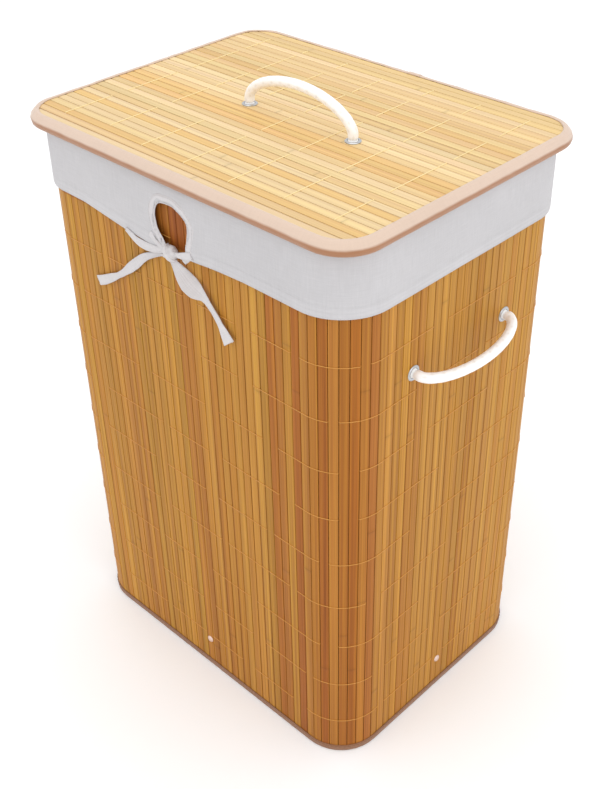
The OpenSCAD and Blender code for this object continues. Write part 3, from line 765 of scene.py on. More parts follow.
row_pitch = 0.054
thread_r = 0.0004
thread_over = 0.0002
thread_under = 0.0012
thread_draw = random.Random(5)
wall_stitch = ThreadWork()
round_slats = [(place, side) for side in side_order for place in wall_places(side)]
for row in range(10):
    z = 0.048 + row * row_pitch
    index = thread_draw.randrange(4)
    while index < len(round_slats):
        long_run = "right" in round_slats[index][1] or "left" in round_slats[index][1]
        over = thread_draw.randint(7, 11) if long_run else thread_draw.randint(5, 9)
        under = thread_draw.randint(1, 2)
        line = []
        for (middle, outward, across, width), _ in round_slats[index:index + over]:
            dip = across * (width / 2 + slat_gap * 0.5)
            if not line:
                line.append(middle - dip - outward * thread_under)
            for s in (-1, 1):
                line.append(middle + across * (s * (width / 2 - 0.0003)) + outward * thread_over)
        line.append(middle + dip - outward * thread_under)
        sag = thread_draw.uniform(-0.0006, 0.0006)
        wall_stitch.add([p + Vector((0, 0, z + sag)) for p in line], thread_r, (0, 0, 1))
        index += over + under
fit(wall_stitch.build("wall_thread_rows", thread_material("wall_thread", linear(206, 144, 62))), "shell",
    "wall_thread", "wall_threads")


def plain_cloth(name, colour, per_metre, bump):
    """Woven cloth for flat pieces without a cloth map: crossed waves laid out by the piece's place."""
    made, tree, shader = new_material(name, {"Roughness": 0.85, "Specular IOR Level": 0.25})
    waves = [(add_node(tree, "TexWave", {"Vector": (add_node(tree, "TexCoord"), "Object"),
                                         "Scale": per_metre / 3.2, "Distortion": 0.6, "Detail": 1.0},
                       wave_type="BANDS", bands_direction=direction), "Fac") for direction in "XYZ"]
    cloud = own_noise(tree, {"Scale": 25.0, "Detail": 4.0})
    feed(tree, shader, {"Base Color": mottled(tree, colour, cloud, {"From Min": 0.2, "From Max": 0.8,
                                                                    "To Min": 0.82, "To Max": 1.15})})
    raise_surface(tree, shader, maths(tree, "ADD", maths(tree, "ADD", *waves[:2]), waves[2]), 0.5, bump)
    return made


backing = plain_cloth("backing_cloth", linear(140, 88, 42), 1400.0, 0.0002)
dress("wall_backing", backing)
dress("wall_seam_tape", backing)


# ---------------------------------------------------------------- rim, foot and base bindings
# A brown cotton tape is folded over the wall's two edges, round a hoop of galvanised wire, and sewn
# through near its free edge. The same tape goes round the edge of the base.
def outline(width, depth, radius, inset, corner=10, stride=0.008):
    """Points, outward directions and distances round a rounded rectangle, moved in by inset."""
    places = []
    for q, (sx, sy) in enumerate(((1, 1), (-1, 1), (-1, -1), (1, -1))):
        centre = Vector((sx * (width / 2 - radius), sy * (depth / 2 - radius), 0))
        for k in range(corner + 1):
            angle = math.radians(90 * q + 90 * k / corner)
            outward = Vector((math.cos(angle), math.sin(angle), 0))
            places.append((centre + outward * (radius - inset), outward))
        straight = (depth if q % 2 else width) - 2 * radius
        steps = max(1, round(straight / stride))
        start, outward = places[-1]
        ahead = Vector((-outward.y, outward.x, 0))
        for k in range(1, steps):
            places.append((start + ahead * (straight * k / steps), outward))
    total = 0.0
    table = []
    for i, (spot, outward) in enumerate(places):
        if i:
            total += (spot - places[i - 1][0]).length
        table.append((spot, outward, total))
    return table


def edge_tape(name, size, profile, material, pucker=0.00015, seed=0):
    """Sweeps a closed profile of (inset, height) round a rounded rectangle, as a sewn tape."""
    width, depth, radius = size
    table = outline(width, depth, radius, 0)
    length = table[-1][2] + (table[0][0] - table[-1][0]).length
    sides = len(profile)
    points = []
    for spot, outward, run in table:
        turn = 2 * math.pi * run / length
        for k, (inset, z) in enumerate(profile):
            ripple = pucker * noise.noise(Vector((40 * math.cos(turn) + seed, 40 * math.sin(turn), k * 0.4)))
            ripple += pucker * 0.6 * noise.noise(Vector((9 * math.cos(turn), 9 * math.sin(turn), seed)))
            points.append(spot - outward * (inset - ripple) + Vector((0, 0, z + 0.5 * ripple)))
    made = mesh_piece(name, points, tube_faces(len(table), sides, closed=True), material)
    girth = [0.0]
    for (a, b), (c, d) in zip(profile, profile[1:] + profile[:1]):
        girth.append(girth[-1] + math.hypot(c - a, d - b))
    runs = [entry[2] for entry in table] + [length]
    places = []
    for i in range(len(table)):
        for k in range(sides):
            places += [(runs[i], girth[k]), (runs[i], girth[k + 1]), (runs[i + 1], girth[k + 1]),
                       (runs[i + 1], girth[k])]
    cloth_map(made, places)
    return made


def arc_points(centre, radii, start, end, count):
    """Points of an oval arc, in degrees, for a profile of (inset, height)."""
    return [(centre[0] + radii[0] * math.cos(a), centre[1] + radii[1] * math.sin(a))
            for a in np.radians(np.linspace(start, end, count))]


def folded_profile(top, tall, outer, inner, thick):
    """A tape folded over an edge at height top, which it hides down to top - tall; open downwards."""
    bend = (inner - outer) / 2
    middle = (outer + inner) / 2
    over = arc_points((middle, top - bend * 0.8), (bend, bend * 0.8), 180, 0, 9)
    under = arc_points((middle, top - bend * 0.8), (bend - thick, bend * 0.8 - thick), 0, 180, 9)
    low = top - tall
    return ([(outer + 0.0001, low), (outer - 0.0001, low + 0.0006), (outer, low + 0.002)] + over
            + [(inner, low + 0.002), (inner - 0.0001, low)] + [(inner - thick, low)] + under
            + [(outer + thick, low)])


def sewn_row(name, size, inset, z, proud, body, flat=False):
    """A row of small stitches round a rounded rectangle, standing just proud of the tape."""
    width, depth, corner = size
    stitch = 0.0032
    pitch = 0.0045
    radius = 0.00022
    table = outline(width, depth, corner, inset, corner=24, stride=0.002)
    runs = [entry[2] for entry in table]
    spots = np.array([entry[0] for entry in table])
    ways = np.array([entry[1] for entry in table])
    row = ThreadWork()
    for i in range(int(runs[-1] / pitch)):
        line = []
        for share, rise in ((0, -0.5), (0.2, 0.6), (0.8, 0.6), (1, -0.5)):
            run = i * pitch + share * stitch
            spot, way = (Vector([np.interp(run, runs, rows[:, axis]) for axis in range(3)])
                         for rows in (spots, ways))
            lift = Vector((0, 0, 1)) if flat else way
            line.append(spot + Vector((0, 0, z)) + lift * (proud + rise * radius))
        row.add(line, radius, (0, 0, 1), sides=5)
    fit(row.build(name, dark_thread), body, "dark_tape")


wall_size = (wall_w, wall_d, corner_r)
wall_top = 0.5864
rim_h = 0.012
foot_h = 0.0085
tape_t = 0.0008
tape_proud = 0.001
dark_tape = cloth_material("dark_tape", linear(146, 102, 72), 1500.0, 0.16, 0.0002, sheen=0.25)
dark_thread = thread_material("dark_thread", linear(128, 88, 60))
rim_profile = folded_profile(wall_top, rim_h, -tape_proud, wall_t + tape_proud, tape_t)
fit(edge_tape("rim_tape", wall_size, rim_profile, dark_tape, seed=2), "shell", "dark_tape", "rim_binding")
foot_profile = folded_profile(wall_top, foot_h, -tape_proud, wall_t + tape_proud, tape_t)
foot_profile = [(inset, wall_top - z) for inset, z in foot_profile][::-1]
fit(edge_tape("foot_tape", wall_size, foot_profile, dark_tape, seed=3), "shell", "dark_tape", "foot_binding")
sewn_row("foot_stitches", wall_size, -tape_proud, foot_h - 0.002, 0.0, "shell")
sewn_row("rim_stitches", wall_size, -tape_proud, wall_top - rim_h + 0.0025, 0.0, "shell")


def metal_material(name, colour, rough, scratch, grain_scale=(700.0, 700.0, 700.0)):
    """Plated metal with fine rubbing marks and a little dulling."""
    made, tree, shader = new_material(name, {"Metallic": 1.0})
    place = (add_node(tree, "TexCoord"), "Object")
    spread = add_node(tree, "VectorMath", {0: place, 1: grain_scale}, operation="MULTIPLY")
    rub = (add_node(tree, "TexNoise", {"Vector": (spread, 0), "Scale": 1.0, "Detail": 4.0}), "Fac")
    dull = add_node(tree, "MapRange", {"Value": rub, "To Min": rough - 0.08, "To Max": rough + 0.14})
    feed(tree, shader, {"Roughness": (dull, "Result"),
                        "Base Color": mottled(tree, colour, rub, {"To Min": 0.88, "To Max": 1.08})})
    raise_surface(tree, shader, rub, scratch, 0.00005)
    return made


wire_metal = metal_material("galvanised_wire", linear(176, 180, 184), 0.42, 0.4, (900.0, 900.0, 60.0))
for hoop in ("rim_wire", "foot_wire", "lid_wire"):
    dress(hoop, wire_metal)

# ---------------------------------------------------------------- base
# The floor of the hamper is a mat of the same slats on a fibreboard, bound with tape. It rests on
# three riveted webbing tabs, and a webbing hinge joins its back edge to the wall.
base_w = 0.380
base_d = 0.280
base_r = 0.054
base_foot = 0.005
base_top = 0.0104
base_bamboo = bamboo_material("base_bamboo", (9.0, 700.0, 700.0), 0.5, 0.12)


def half_slat(width, depth, radius, y):
    """Half the length of a slat that fits a rounded outline, when its outer edge lies at y."""
    over = max(0.0, abs(y) - (depth / 2 - radius))
    return width / 2 - radius + math.sqrt(max(0.0, radius * radius - over * over))


def lay_slats(name, size, count, gap, z, face_up, tones, material, seed):
    """Slats along X that fill a rounded outline, with their front faces up or down at height z."""
    width, depth, radius = size
    run = depth / count
    slats = SlatMat(seed)
    across = Vector((0, -1 if face_up else 1, 0))
    for i in range(count):
        y = (i - (count - 1) / 2) * run
        half = half_slat(width, depth, radius, abs(y) - (run - gap) / 2)
        slats.add(Vector((0, y, z)), Vector((1, 0, 0)), across, run - gap, 2 * half, tones,
                  ends=lambda a, y=y: half_slat(width, depth, radius, y + across.y * a))
    return slats.build(name, material)


fit(lay_slats("base_bamboo_mat", (base_w - 0.002, base_d - 0.002, base_r - 0.001), 29, slat_gap,
              base_foot + 0.001, False, wall_tones, base_bamboo, 21), "base", "base_bamboo", "base_slats")
base_size = (base_w, base_d, base_r)
base_profile = arc_points((0.0027, (base_foot + base_top) / 2), (0.0027, 0.0027), 90, 270, 9)
base_profile = [(0.008, base_top), (0.0072, base_top)] + base_profile + [
    (0.0072, base_foot), (0.008, base_foot), (0.008, base_foot + 0.0008), (0.0032, base_foot + 0.0009),
    (0.0012, base_foot + 0.0018), (0.0012, base_top - 0.0018), (0.0032, base_top - 0.0009),
    (0.008, base_top - 0.0008)]
fit(edge_tape("base_tape", base_size, base_profile, dark_tape, pucker=0.0001, seed=4), "base", "dark_tape",
    "base_binding")
sewn_row("base_stitches", base_size, 0.006, base_top, 0.0001, "base", flat=True)


def board_material():
    """Pressed wood fibre: short mixed fibres, matt."""
    made, tree, shader = new_material("fibreboard", {"Roughness": 0.8, "Specular IOR Level": 0.2})
    fibre = own_noise(tree, {"Scale": 420.0, "Detail": 8.0, "Roughness": 0.75})
    pressed = ramp(tree, fibre, linear(138, 100, 62), linear(184, 144, 98), 0.3, 0.7)
    feed(tree, shader, {"Base Color": pressed})
    raise_surface(tree, shader, fibre, 0.5, 0.0002)
    return made


dress("base_board", board_material())
webbing = plain_cloth("tab_webbing", linear(112, 78, 48), 900.0, 0.0004)
for strap in ("base_tabs", "hinge_wall_leg", "hinge_base_leg"):
    dress(strap, webbing)
dress("tab_rivets", metal_material("rivet_metal", linear(232, 206, 194), 0.32, 0.3))
nickel = metal_material("nickel", linear(196, 198, 202), 0.28, 0.3)
for ring in ("tab_washers", "right_eyelets", "left_eyelets", "eyelet_washers", "lid_eyelets", "lid_washers"):
    dress(ring, nickel)

# ---------------------------------------------------------------- liner bag
# A loose cotton bag that hangs inside from the rim, down to just over the base. It narrows below the
# rim, where the rope knots are, and falls in soft upright folds.
rim_top = 0.5877
bag_size = (0.344, 0.280, 0.034)
neck_size = (wall_w - 2 * 0.0048, wall_d - 2 * 0.0048, corner_r - 0.0048)
bag_floor = 0.0132
liner_cotton = cloth_material("liner_cotton", linear(200, 198, 200), 1500.0, 0.13, 0.00018, sheen=0.1)


def thicken(piece, thickness, offset=-1):
    """Gives a single sheet of cloth its thickness."""
    sheet = piece.modifiers.new("thickness", "SOLIDIFY")
    sheet.thickness = thickness
    sheet.offset = offset
    bpy.context.view_layer.objects.active = piece
    bpy.ops.object.modifier_apply(modifier=sheet.name)


def bag_ring(z):
    """Size of the bag at height z: the neck to 545 mm, then the narrower bag from 495 mm."""
    neck_z = 0.545
    share = min(1.0, max(0.0, (neck_z - z) / 0.05))
    share = share * share * (3 - 2 * share)
    return tuple(a + (b - a) * share for a, b in zip(neck_size, bag_size)), share


def build_bag():
    heights = list(np.linspace(rim_top - 0.0012, 0.548, 8)) + list(np.linspace(0.54, 0.03, 52))
    heights += [0.022, 0.017, 0.0145, bag_floor + 0.0004]
    rings = []
    for z in heights:
        size, share = bag_ring(z)
        inset = 0.0
        if z < 0.024:
            inset = 0.010 * (1 - math.sqrt(max(0.0, 1 - ((0.024 - z) / 0.0108) ** 2)))
        table = outline(size[0], size[1], size[2], 0, corner=12, stride=0.006)
        total = table[-1][2] + (table[0][0] - table[-1][0]).length
        ring = []
        for spot, outward, run in table:
            turn = run / total * 2 * math.pi
            fold = noise.noise(Vector((7 * math.cos(turn), 7 * math.sin(turn), z * 2.2)))
            small = noise.noise(Vector((22 * math.cos(turn), 22 * math.sin(turn), z * 7 + 4)))
            depth = share * (0.0034 * (fold - 0.7) + 0.0012 * small)
            ring.append(spot + outward * (min(0.0, depth) - inset) + Vector((0, 0, z)))
        rings.append(ring)
    last = rings[-1]
    for shrink in (0.9, 0.75, 0.55, 0.35, 0.15):
        ring = []
        for spot in last:
            flat = Vector((spot.x * shrink, spot.y * shrink, 0))
            crease = 0.0009 * (1 + noise.noise(Vector((flat.x * 30, flat.y * 30, 1))))
            ring.append(Vector((flat.x, flat.y, bag_floor + 0.0004 + crease)))
        rings.append(ring)
    count = len(last)
    points = [p for ring in rings for p in ring]
    faces = tube_faces(len(rings), count)[:-2]
    faces.append(tuple((len(rings) - 1) * count + k for k in range(count)))
    made = mesh_piece("liner_bag_cloth", points, faces, liner_cotton)
    lengths = [0.0]
    for a, b in zip(rings, rings[1:]):
        lengths.append(lengths[-1] + (b[0] - a[0]).length)
    places = []
    bag_girth = 1.21
    for i in range(len(rings) - 1):
        for k in range(count):
            u0, u1 = k / count * bag_girth, (k + 1) / count * bag_girth
            places += [(u0, lengths[i]), (u1, lengths[i]), (u1, lengths[i + 1]), (u0, lengths[i + 1])]
    places += [(p.x, p.y) for p in rings[-1]]
    cloth_map(made, places)
    return made


bag = build_bag()
thicken(bag, 0.0008)
fit(bag, "liner", "liner_cotton", "liner_bag")
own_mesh(bag)

# ---------------------------------------------------------------- liner collar
# The top of the liner is turned out over the rim and hangs 60 mm down the outside, with a keyhole
# cut at the front. Its lower edge is hemmed, and the tie gathers it under the keyhole.
collar_z = 0.5277
collar_in = -0.0013
collar_out = -0.0023
hem_h = 0.010
keyhole = [(3, -4), (-4, 3), (-9, 8), (-13.5, 13), (-16, 19), (-16.4, 27), (-15, 34), (-10.5, 38.6),
           (-3, 40.2), (7, 40.4), (14, 37.8), (20, 34), (23.8, 30), (24.2, 25), (22.8, 18), (21.5, 10),
           (19.5, 3), (14, -3)]
keyhole = smooth_line([(x / 1000, 0, collar_z + z / 1000) for x, z in keyhole], 60)
keyhole_middle = Vector((0.002, 0, collar_z + 0.016))


def inside_keyhole(x, z, grow):
    """Whether a place on the front lies in the keyhole, grown by grow all round."""
    ring = [keyhole_middle + (p - keyhole_middle) * (1 + grow / max(0.001, (p - keyhole_middle).length))
            for p in keyhole]
    crossings = 0
    for a, b in zip(ring, ring[1:] + ring[:1]):
        if (a.z > z) != (b.z > z) and x < (b.x - a.x) * (z - a.z) / (b.z - a.z) + a.x:
            crossings += 1
    return crossings % 2 == 1


def collar_lift(x, z):
    """How far the gathered cloth near the knot stands off the wall."""
    dx = x - knot_at.x
    dz = z - knot_at.z
    round_hole = math.hypot((x - 0.004) / 0.034, (z - collar_z - 0.018) / 0.030)
    stand_off = 0.0024 * math.exp(-max(0.0, round_hole - 0.4) ** 2 * 1.6)
    far = math.hypot(dx, dz)
    angle = math.atan2(dz, dx)
    fade = math.exp(-((far - 0.016) / 0.03) ** 2)
    crease = 0.0010 * fade * (0.5 + 0.5 * math.sin(15 * angle + 1.0)) ** 2
    sideways = 0.0007 * math.exp(-(dz / 0.012) ** 2 - ((abs(dx) - 0.03) / 0.03) ** 2)
    return crease + sideways + stand_off


def hem_drop(x, z):
    """How much lower than level the collar's front hangs at x: the tie pulls it down beside the knot."""
    low = np.interp(x, (-0.150, -0.121, -0.091, -0.061, -0.035, 0.0, 0.029, 0.047, 0.090, 0.150),
                    (-0.0040, -0.0036, 0.0004, 0.0042, 0.0045, 0.0030, 0.0017, 0.0008, -0.0006, 0.0))
    return low * max(0.0, min(1.0, (rim_top - z) / (rim_top - collar_z)))


def build_collar():
    """The outer fall, the fold over the rim and a short turn down inside, as one sheet."""
    fine = 0.0016
    table = outline(wall_w, wall_d, corner_r, 0, corner=30, stride=0.0032)
    table = [entry for entry in table if not (entry[1].y < -0.99 and abs(entry[0].x) < 0.06)]
    split = next(i for i, entry in enumerate(table) if entry[1].y < -0.99 and entry[0].x > 0.05)
    table_front = [(Vector((x, -wall_d / 2, 0)), Vector((0, -1, 0)), 0.0)
                   for x in np.arange(-0.06, 0.0601, fine)]
    table = table[:split] + table_front + table[split:]
    runs = [0.0]
    for a, b in zip(table, table[1:] + table[:1]):
        runs.append(runs[-1] + (b[0] - a[0]).length)
    fall = collar_out
    rows = [(collar_in, collar_z + 0.0004), (fall - 0.0001, collar_z), (fall - 0.0001, collar_z + 0.0006),
            (fall - 0.0001, collar_z + hem_h - 0.0006), (fall - 0.0001, collar_z + hem_h),
            (fall, collar_z + hem_h + 0.0007)]
    rows += [(fall, z) for z in np.arange(collar_z + hem_h + 0.0022, rim_top - 0.0016, fine)]
    rows += [(inset, rim_top - down) for inset, down in
             ((fall + 0.0003, 0.0007), (fall + 0.0010, 0.0001), (0.0, 0.0), (0.0026, 0.0), (0.0042, 0.0003),
              (0.0047, 0.0012), (0.0047, 0.012))]
    count = len(table)
    points = []
    for inset, z in rows:
        for spot, outward, _ in table:
            off = 0.0
            low = hem_drop(spot.x, z) * max(0.0, -outward.y)
            if inset < -0.0015 and z < rim_top - 0.003:
                loose = 0.5 + 0.5 * noise.noise(Vector((spot.x * 14, spot.y * 14, z * 10)))
                off = 0.0005 * loose * min(1, (rim_top - z) / 0.02)
                if outward.y < -0.99:
                    off += collar_lift(spot.x, z)
            points.append(spot - outward * (inset - off) + Vector((0, 0, z - low)))
    faces = []
    places = []
    for i in range(len(rows) - 1):
        for k in range(count):
            n = (k + 1) % count
            spot = (table[k][0] + table[n][0]) / 2
            z = (rows[i][1] + rows[i + 1][1]) / 2
            front = table[k][1].y < -0.99 and abs(spot.x) < 0.05 and rows[i][0] < 0
            if front and inside_keyhole(spot.x, z, 0.0025):
                continue
            faces.append((i * count + k, i * count + n, (i + 1) * count + n, (i + 1) * count + k))
            low, high = fine * i, fine * (i + 1)
            places += [(runs[k], low), (runs[k + 1], low), (runs[k + 1], high), (runs[k], high)]
    made = mesh_piece("liner_collar_cloth", points, faces, liner_cotton)
    cloth_map(made, places)
    return made


collar = build_collar()
collar.data.flip_normals()
thicken(collar, 0.0007)
fit(collar, "liner", "liner_cotton", "liner_collar", "collar_hem")

# ---------------------------------------------------------------- keyhole tape, loops and knot
# The keyhole's edge is bound with the same tape. It leaves the cloth on both sides as short loops,
# which meet in a small tight knot below the opening.
tape_face = -(wall_d / 2 - collar_out)
tape_half = 0.0043


def keyhole_binding():
    """A padded band whose inner edge is the opening."""
    line = []
    for i, p in enumerate(keyhole):
        out = Vector((0, 1, 0)).cross(heading(keyhole, i)).normalized()
        if out.dot(p - keyhole_middle) < 0:
            out = -out
        line.append(Vector((p.x, tape_face - 0.0004, p.z)) + out * tape_half)
    lifted = [p - Vector((0, collar_lift(p.x, p.z), 0)) for p in line]
    share = 2 * tape_half / tie_w
    widths = [share * 0.75] + [share] * 9 + [share * 0.8]
    return flat_tape("keyhole_tape_band", lifted, widths, (0, -1, 0), 0.0012, cup=-0.0003, samples=90, seed=5)


band, band_line = keyhole_binding()
fit(band, "liner", "cotton_tape", "keyhole_tape")
white_thread = thread_material("white_thread", linear(214, 211, 212))
band_stitch = ThreadWork()
for i in range(4, len(band_line) - 4, 2):
    ahead = heading(band_line, i)
    side = Vector((0, -1, 0)).cross(ahead).normalized()
    for shift in (-0.62, 0.62):
        spot = band_line[i] + side * (shift * tape_half) - Vector((0, 0.0010, 0))
        band_stitch.add([spot + ahead * run + Vector((0, deep, 0)) for run, deep in
                         ((-0.0011, 0.0002), (-0.0006, 0), (0.0006, 0), (0.0011, 0.0002))], 0.00016,
                        (0, -1, 0), sides=5)
fit(band_stitch.build("keyhole_stitches", white_thread), "liner", "cotton_tape")
loop_y = tape_face - 0.0008 - tie_t / 2 - 0.0001
loops = [([(-60, 2.5), (-52, -1.5), (-44, -4.3), (-33, -4.4), (-21, -2.5), (-9, 0.5), (-2, 2)],
          [0.4, 0.75, 1.0, 1.0, 0.85, 0.6, 0.45], 6),
         ([(-24, 12), (-16, 6), (-8, 3.6), (-2, 3)], [0.7, 0.6, 0.5, 0.4], 7),
         ([(29, 8.5), (25, 7), (19, 5), (13, 3.5), (6, 2.5)], [0.85, 0.85, 0.75, 0.6, 0.5], 9)]
loop_pieces = []
for n, (route, widths, seed) in enumerate(loops):
    line = [Vector((x / 1000, loop_y - collar_lift(x / 1000, knot_at.z + z / 1000), knot_at.z + z / 1000))
            for x, z in route]
    made, _ = flat_tape(f"tie_loop_{n}", line, widths, (0, -1, 0), tie_t, cup=0.0003, samples=30, seed=seed)
    loop_pieces.append(made)
fit(join_parts(loop_pieces, "tie_loop_tapes"), "liner", "cotton_tape", "tie_loops")
knot_ball = Vector((0.0025, -0.1548, knot_at.z + 0.0022))


def build_knot():
    """A squashed ball of folded tape, with a wrap that passes over its front from corner to corner."""
    rows = 28
    sides = 40
    points = []
    for i in range(rows):
        rise = math.pi * (i + 0.5) / rows - math.pi / 2
        for k in range(sides):
            angle = 2 * math.pi * k / sides
            x = math.cos(rise) * math.cos(angle)
            y = math.cos(rise) * math.sin(angle)
            z = math.sin(rise)
            lean_way = 0.8 * x + 0.6 * z
            fold = 1 + 0.07 * math.sin(9 * lean_way + 2 * y) + 0.04 * noise.noise(Vector((x, y, z)) * 3)
            waist = 1 - 0.16 * math.exp(-((0.6 * x - 0.8 * z + 0.15) / 0.18) ** 2)
            points.append(knot_ball + Vector((0.0074 * x * fold * waist, 0.0056 * y * fold,
                                              0.0072 * z * fold * waist)))
    core = mesh_piece("tie_knot_core", points, tube_faces(rows, sides), tape_cotton)
    cloth_map(core, tube_map(rows, sides, 0.045, 0.02))
    wrap = []
    for step in range(25):
        angle = math.pi * (step / 24 * 1.1 - 0.05)
        cross = math.cos(angle)
        wrap.append(knot_ball + Vector((-0.0050 * cross, -0.0059 * math.sin(angle) + 0.0004, 0.0060 * cross)))
    rings = 30
    wrap_sides = 16
    spots = smooth_line(wrap, rings)
    points = []
    for i, spot in enumerate(spots):
        ahead = heading(spots, i)
        out_way = (spot - knot_ball - Vector((0, 0.002, 0))).normalized()
        side = out_way.cross(ahead).normalized()
        out_way = ahead.cross(side).normalized()
        for k in range(wrap_sides):
            angle = 2 * math.pi * k / wrap_sides
            points.append(spot + side * (0.0028 * math.cos(angle)) + out_way * (0.0007 * math.sin(angle)))
    band_over = mesh_piece("tie_knot_wrap", points, tube_faces(rings, wrap_sides), tape_cotton)
    cloth_map(band_over, tube_map(rings, wrap_sides, 0.015, 0.02))
    return join_parts([core, band_over], "tie_knot_tape")


fit(build_knot(), "liner", "cotton_tape", "tie_knot")

# ---------------------------------------------------------------- lid slats, threads and inside
# Slats run the long way across the lid, on a backing cloth, with two battens under the handle. Their tones
# are the walls' bamboo painted paler, as painted light and sheen from above.
# Threads cross them in rows, as on the wall.
lid_w = 0.414
lid_d = 0.314
lid_r = 0.038
lid_inset = 0.008
# Painted light: the walls' bamboo tones made paler, as if lit and sheened from above.
lid_tones_painted_light = [(226, 197, 145), (224, 193, 137), (229, 202, 156), (222, 184, 122), (225, 196, 144),
             (219, 184, 132), (228, 200, 154), (224, 192, 140)]
lid_bamboo = bamboo_material("lid_bamboo", (7.0, 1100.0, 1100.0), 0.34, 0.03)
lid_slat_n = 33
lid_slat_run = lid_d - 2 * lid_inset
lid_gap = 0.0009
lid_slats = lay_slats("lid_bamboo_mat", (lid_w - 2 * lid_inset, lid_slat_run, lid_r - lid_inset), lid_slat_n,
                      lid_gap, lid_top, True, lid_tones_painted_light, lid_bamboo, 31)
bore(lid_slats, [(place, (0, 0, 1), eyelet_bore) for place in lid_eyelets], (1, 0, 0))
fit(lid_slats, "lid", "lid_bamboo", "lid_slats")
lid_stitch = ThreadWork()
pitch = lid_slat_run / lid_slat_n
eyelet_room = 0.0085
for row in range(-3, 4):
    x = row * row_pitch
    index = thread_draw.randrange(1, 4)
    while index < lid_slat_n - 2:
        over = min(thread_draw.randint(5, 9), lid_slat_n - 2 - index)
        under = thread_draw.randint(1, 2)
        line = []
        for i in range(index, index + over):
            y = (i - (lid_slat_n - 1) / 2) * pitch
            if not line:
                line.append(Vector((x, y - pitch / 2, lid_top - thread_under)))
            for s in (-1, 1):
                line.append(Vector((x, y + s * (pitch / 2 - 0.0006), lid_top + thread_over)))
        line.append(Vector((x, line[-1].y + 0.0006, lid_top - thread_under)))
        low = min(p.y for p in line)
        high = max(p.y for p in line)
        blocked = any(abs(x - place.x) < eyelet_room and low < place.y + 0.009 and high > place.y - 0.009
                      for place in lid_eyelets)
        if not blocked:
            lid_stitch.add(line, thread_r * 1.2, (1, 0, 0))
        index += over + under
fit(lid_stitch.build("lid_thread_rows", thread_material("lid_thread", linear(246, 224, 168))), "lid",
    "lid_thread", "lid_threads")
lid_cloth = plain_cloth("lid_backing_cloth", linear(128, 86, 46), 1400.0, 0.0002)
sheet_edge = outline(lid_w, lid_d, lid_r, 0.006)
sheet_points = [spot + Vector((0, 0, z)) for z in (lid_top - 0.0026, lid_top - slat_t)
                for spot, _, _ in sheet_edge]
lid_sheet = mesh_piece("lid_backing_sheet", sheet_points, tube_faces(2, len(sheet_edge)), lid_cloth,
                       smooth=False)
cut_holes(lid_sheet, [(place - Vector((0, 0, 0.002)), (0, 0, 1), eyelet_bore) for place in lid_eyelets])
fit(lid_sheet, "lid", "backing_cloth", "lid_backing")


def batten_material():
    """Plain sawn softwood with a straight grain across the lid."""
    made, tree, shader = new_material("batten_wood", {"Roughness": 0.7, "Specular IOR Level": 0.3})
    cane = add_node(tree, "Group", {"Stretch": (300.0, 6.0, 300.0), "Streak": 0.5,
                                    "Slat colour": linear(206, 168, 118)}, node_tree=grain)
    feed(tree, shader, {"Base Color": (cane, "Colour")})
    raise_surface(tree, shader, (cane, "Height"), 0.5, 0.0003)
    return made


dress("lid_battens", batten_material())

# ---------------------------------------------------------------- lid binding
# A wide satin tape wraps the lid's wire frame and the ends of the slats. It starts and ends at the
# middle of the back edge, where a few stitches hold the lap.
lid_z = 0.588
lid_high = 0.600


def satin_material():
    """Satin tape in one colour with painted light and shade: painted light makes its upper half rose beige,
    painted shade makes the lower half that turns under browner.
    """
    made, tree, shader = new_material("lid_satin_tape", {"Specular IOR Level": 0.5, "Sheen Weight": 0.2,
                                                         "Roughness": 0.42})
    split = add_node(tree, "SeparateXYZ", {"Vector": (add_node(tree, "TexCoord"), "Object")})
    height = add_node(tree, "MapRange", {"Value": (split, "Z"), "From Min": lid_z, "From Max": lid_high})
    # Painted light and shade by height: brown painted shade low on the tape, rose beige painted light on top.
    painted_light_and_shade = ramp(tree, (height, "Result"), linear(164, 112, 74), linear(216, 191, 172), 0.42, 0.58)
    cloth = add_node(tree, "Group", {"Thread colour": painted_light_and_shade, "Threads per metre": 1900.0,
                                     "Unevenness": 0.08}, node_tree=weave)
    feed(tree, shader, {"Base Color": (cloth, "Colour")})
    raise_surface(tree, shader, (cloth, "Height"), 0.4, 0.00012)
    return made


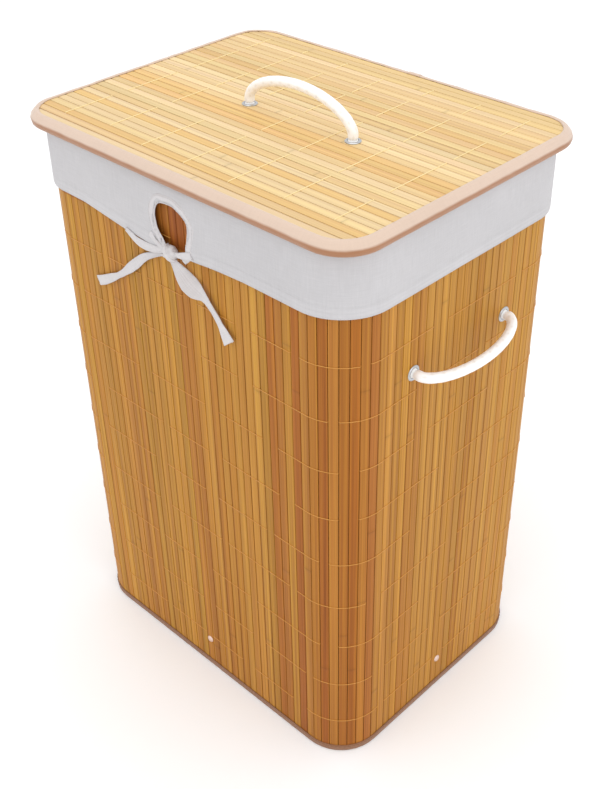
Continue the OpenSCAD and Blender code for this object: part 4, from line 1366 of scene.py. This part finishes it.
satin = satin_material()
lid_middle = (lid_z + lid_high) / 2
lid_profile = [(0.0090, 0.5989), (0.0086, 0.5996), (0.0078, 0.6000), (0.0062, 0.5999), (0.0046, 0.5992),
               (0.0032, 0.5981), (0.0018, 0.5966), (0.0008, 0.5953), (0.0003, 0.5943), (0.0001, 0.5934),
               (0.0000, 0.5924), (0.0001, 0.5911), (0.0004, 0.5899), (0.0008, 0.5889), (0.0015, 0.5881),
               (0.0026, 0.5880), (0.0056, 0.5880), (0.0086, 0.5880), (0.0090, 0.5885), (0.0090, 0.5890),
               (0.0058, 0.5890), (0.0026, 0.5889), (0.0014, 0.5893), (0.0008, 0.5905), (0.0006, 0.5920),
               (0.0007, 0.5933), (0.0014, 0.5941), (0.0034, 0.5955), (0.0050, 0.5968), (0.0056, 0.5975),
               (0.0070, 0.5988)]
lid_tape = edge_tape("lid_tape", (lid_w, lid_d, lid_r), lid_profile, satin, pucker=0.0005, seed=6)
fit(lid_tape, "lid", "lid_tape", "lid_binding")


def tape_lap():
    """The lapped end of the tape at the back, and the stitches that hold it."""
    lap_x = 0.015
    lap_w = 0.014
    ridge = [(inset - 0.0003 * (1 if inset < 0.006 else 0), z + (0.0004 if z > lid_middle else -0.0002))
             for inset, z in lid_profile[:18]]
    points = []
    for share in (-0.5, -0.46, 0.46, 0.5):
        drop = 0.0003 if abs(share) == 0.5 else 0.0
        for inset, z in ridge:
            points.append((lap_x + share * lap_w, lid_d / 2 - inset - drop, z - drop))
    count = len(ridge)
    faces = [(i * count + k, i * count + k + 1, (i + 1) * count + k + 1, (i + 1) * count + k)
             for i in range(3) for k in range(count - 1)]
    made = mesh_piece("lid_tape_lap", points, faces, satin)
    cloth_map(made, [(points[v][0], points[v][2]) for face in faces for v in face])
    thicken(made, 0.0005, offset=0)
    fit(made, "lid", "lid_tape")
    tacks = ThreadWork()
    for n in range(4):
        x = lap_x + (n - 1.5) * 0.0026
        route = ((0, 0.0078, 0), (0, 0.0074, 0.0003), (0.0006, 0.004, -0.0012), (0.0006, 0.0034, -0.0024))
        line = [Vector((x + shift, lid_d / 2 - inset, lid_high + rise)) for shift, inset, rise in route]
        tacks.add(line, 0.00025, (1, 0, 0))
    fit(tacks.build("lid_tape_tacks", dark_thread), "lid", "lid_tape")


tape_lap()
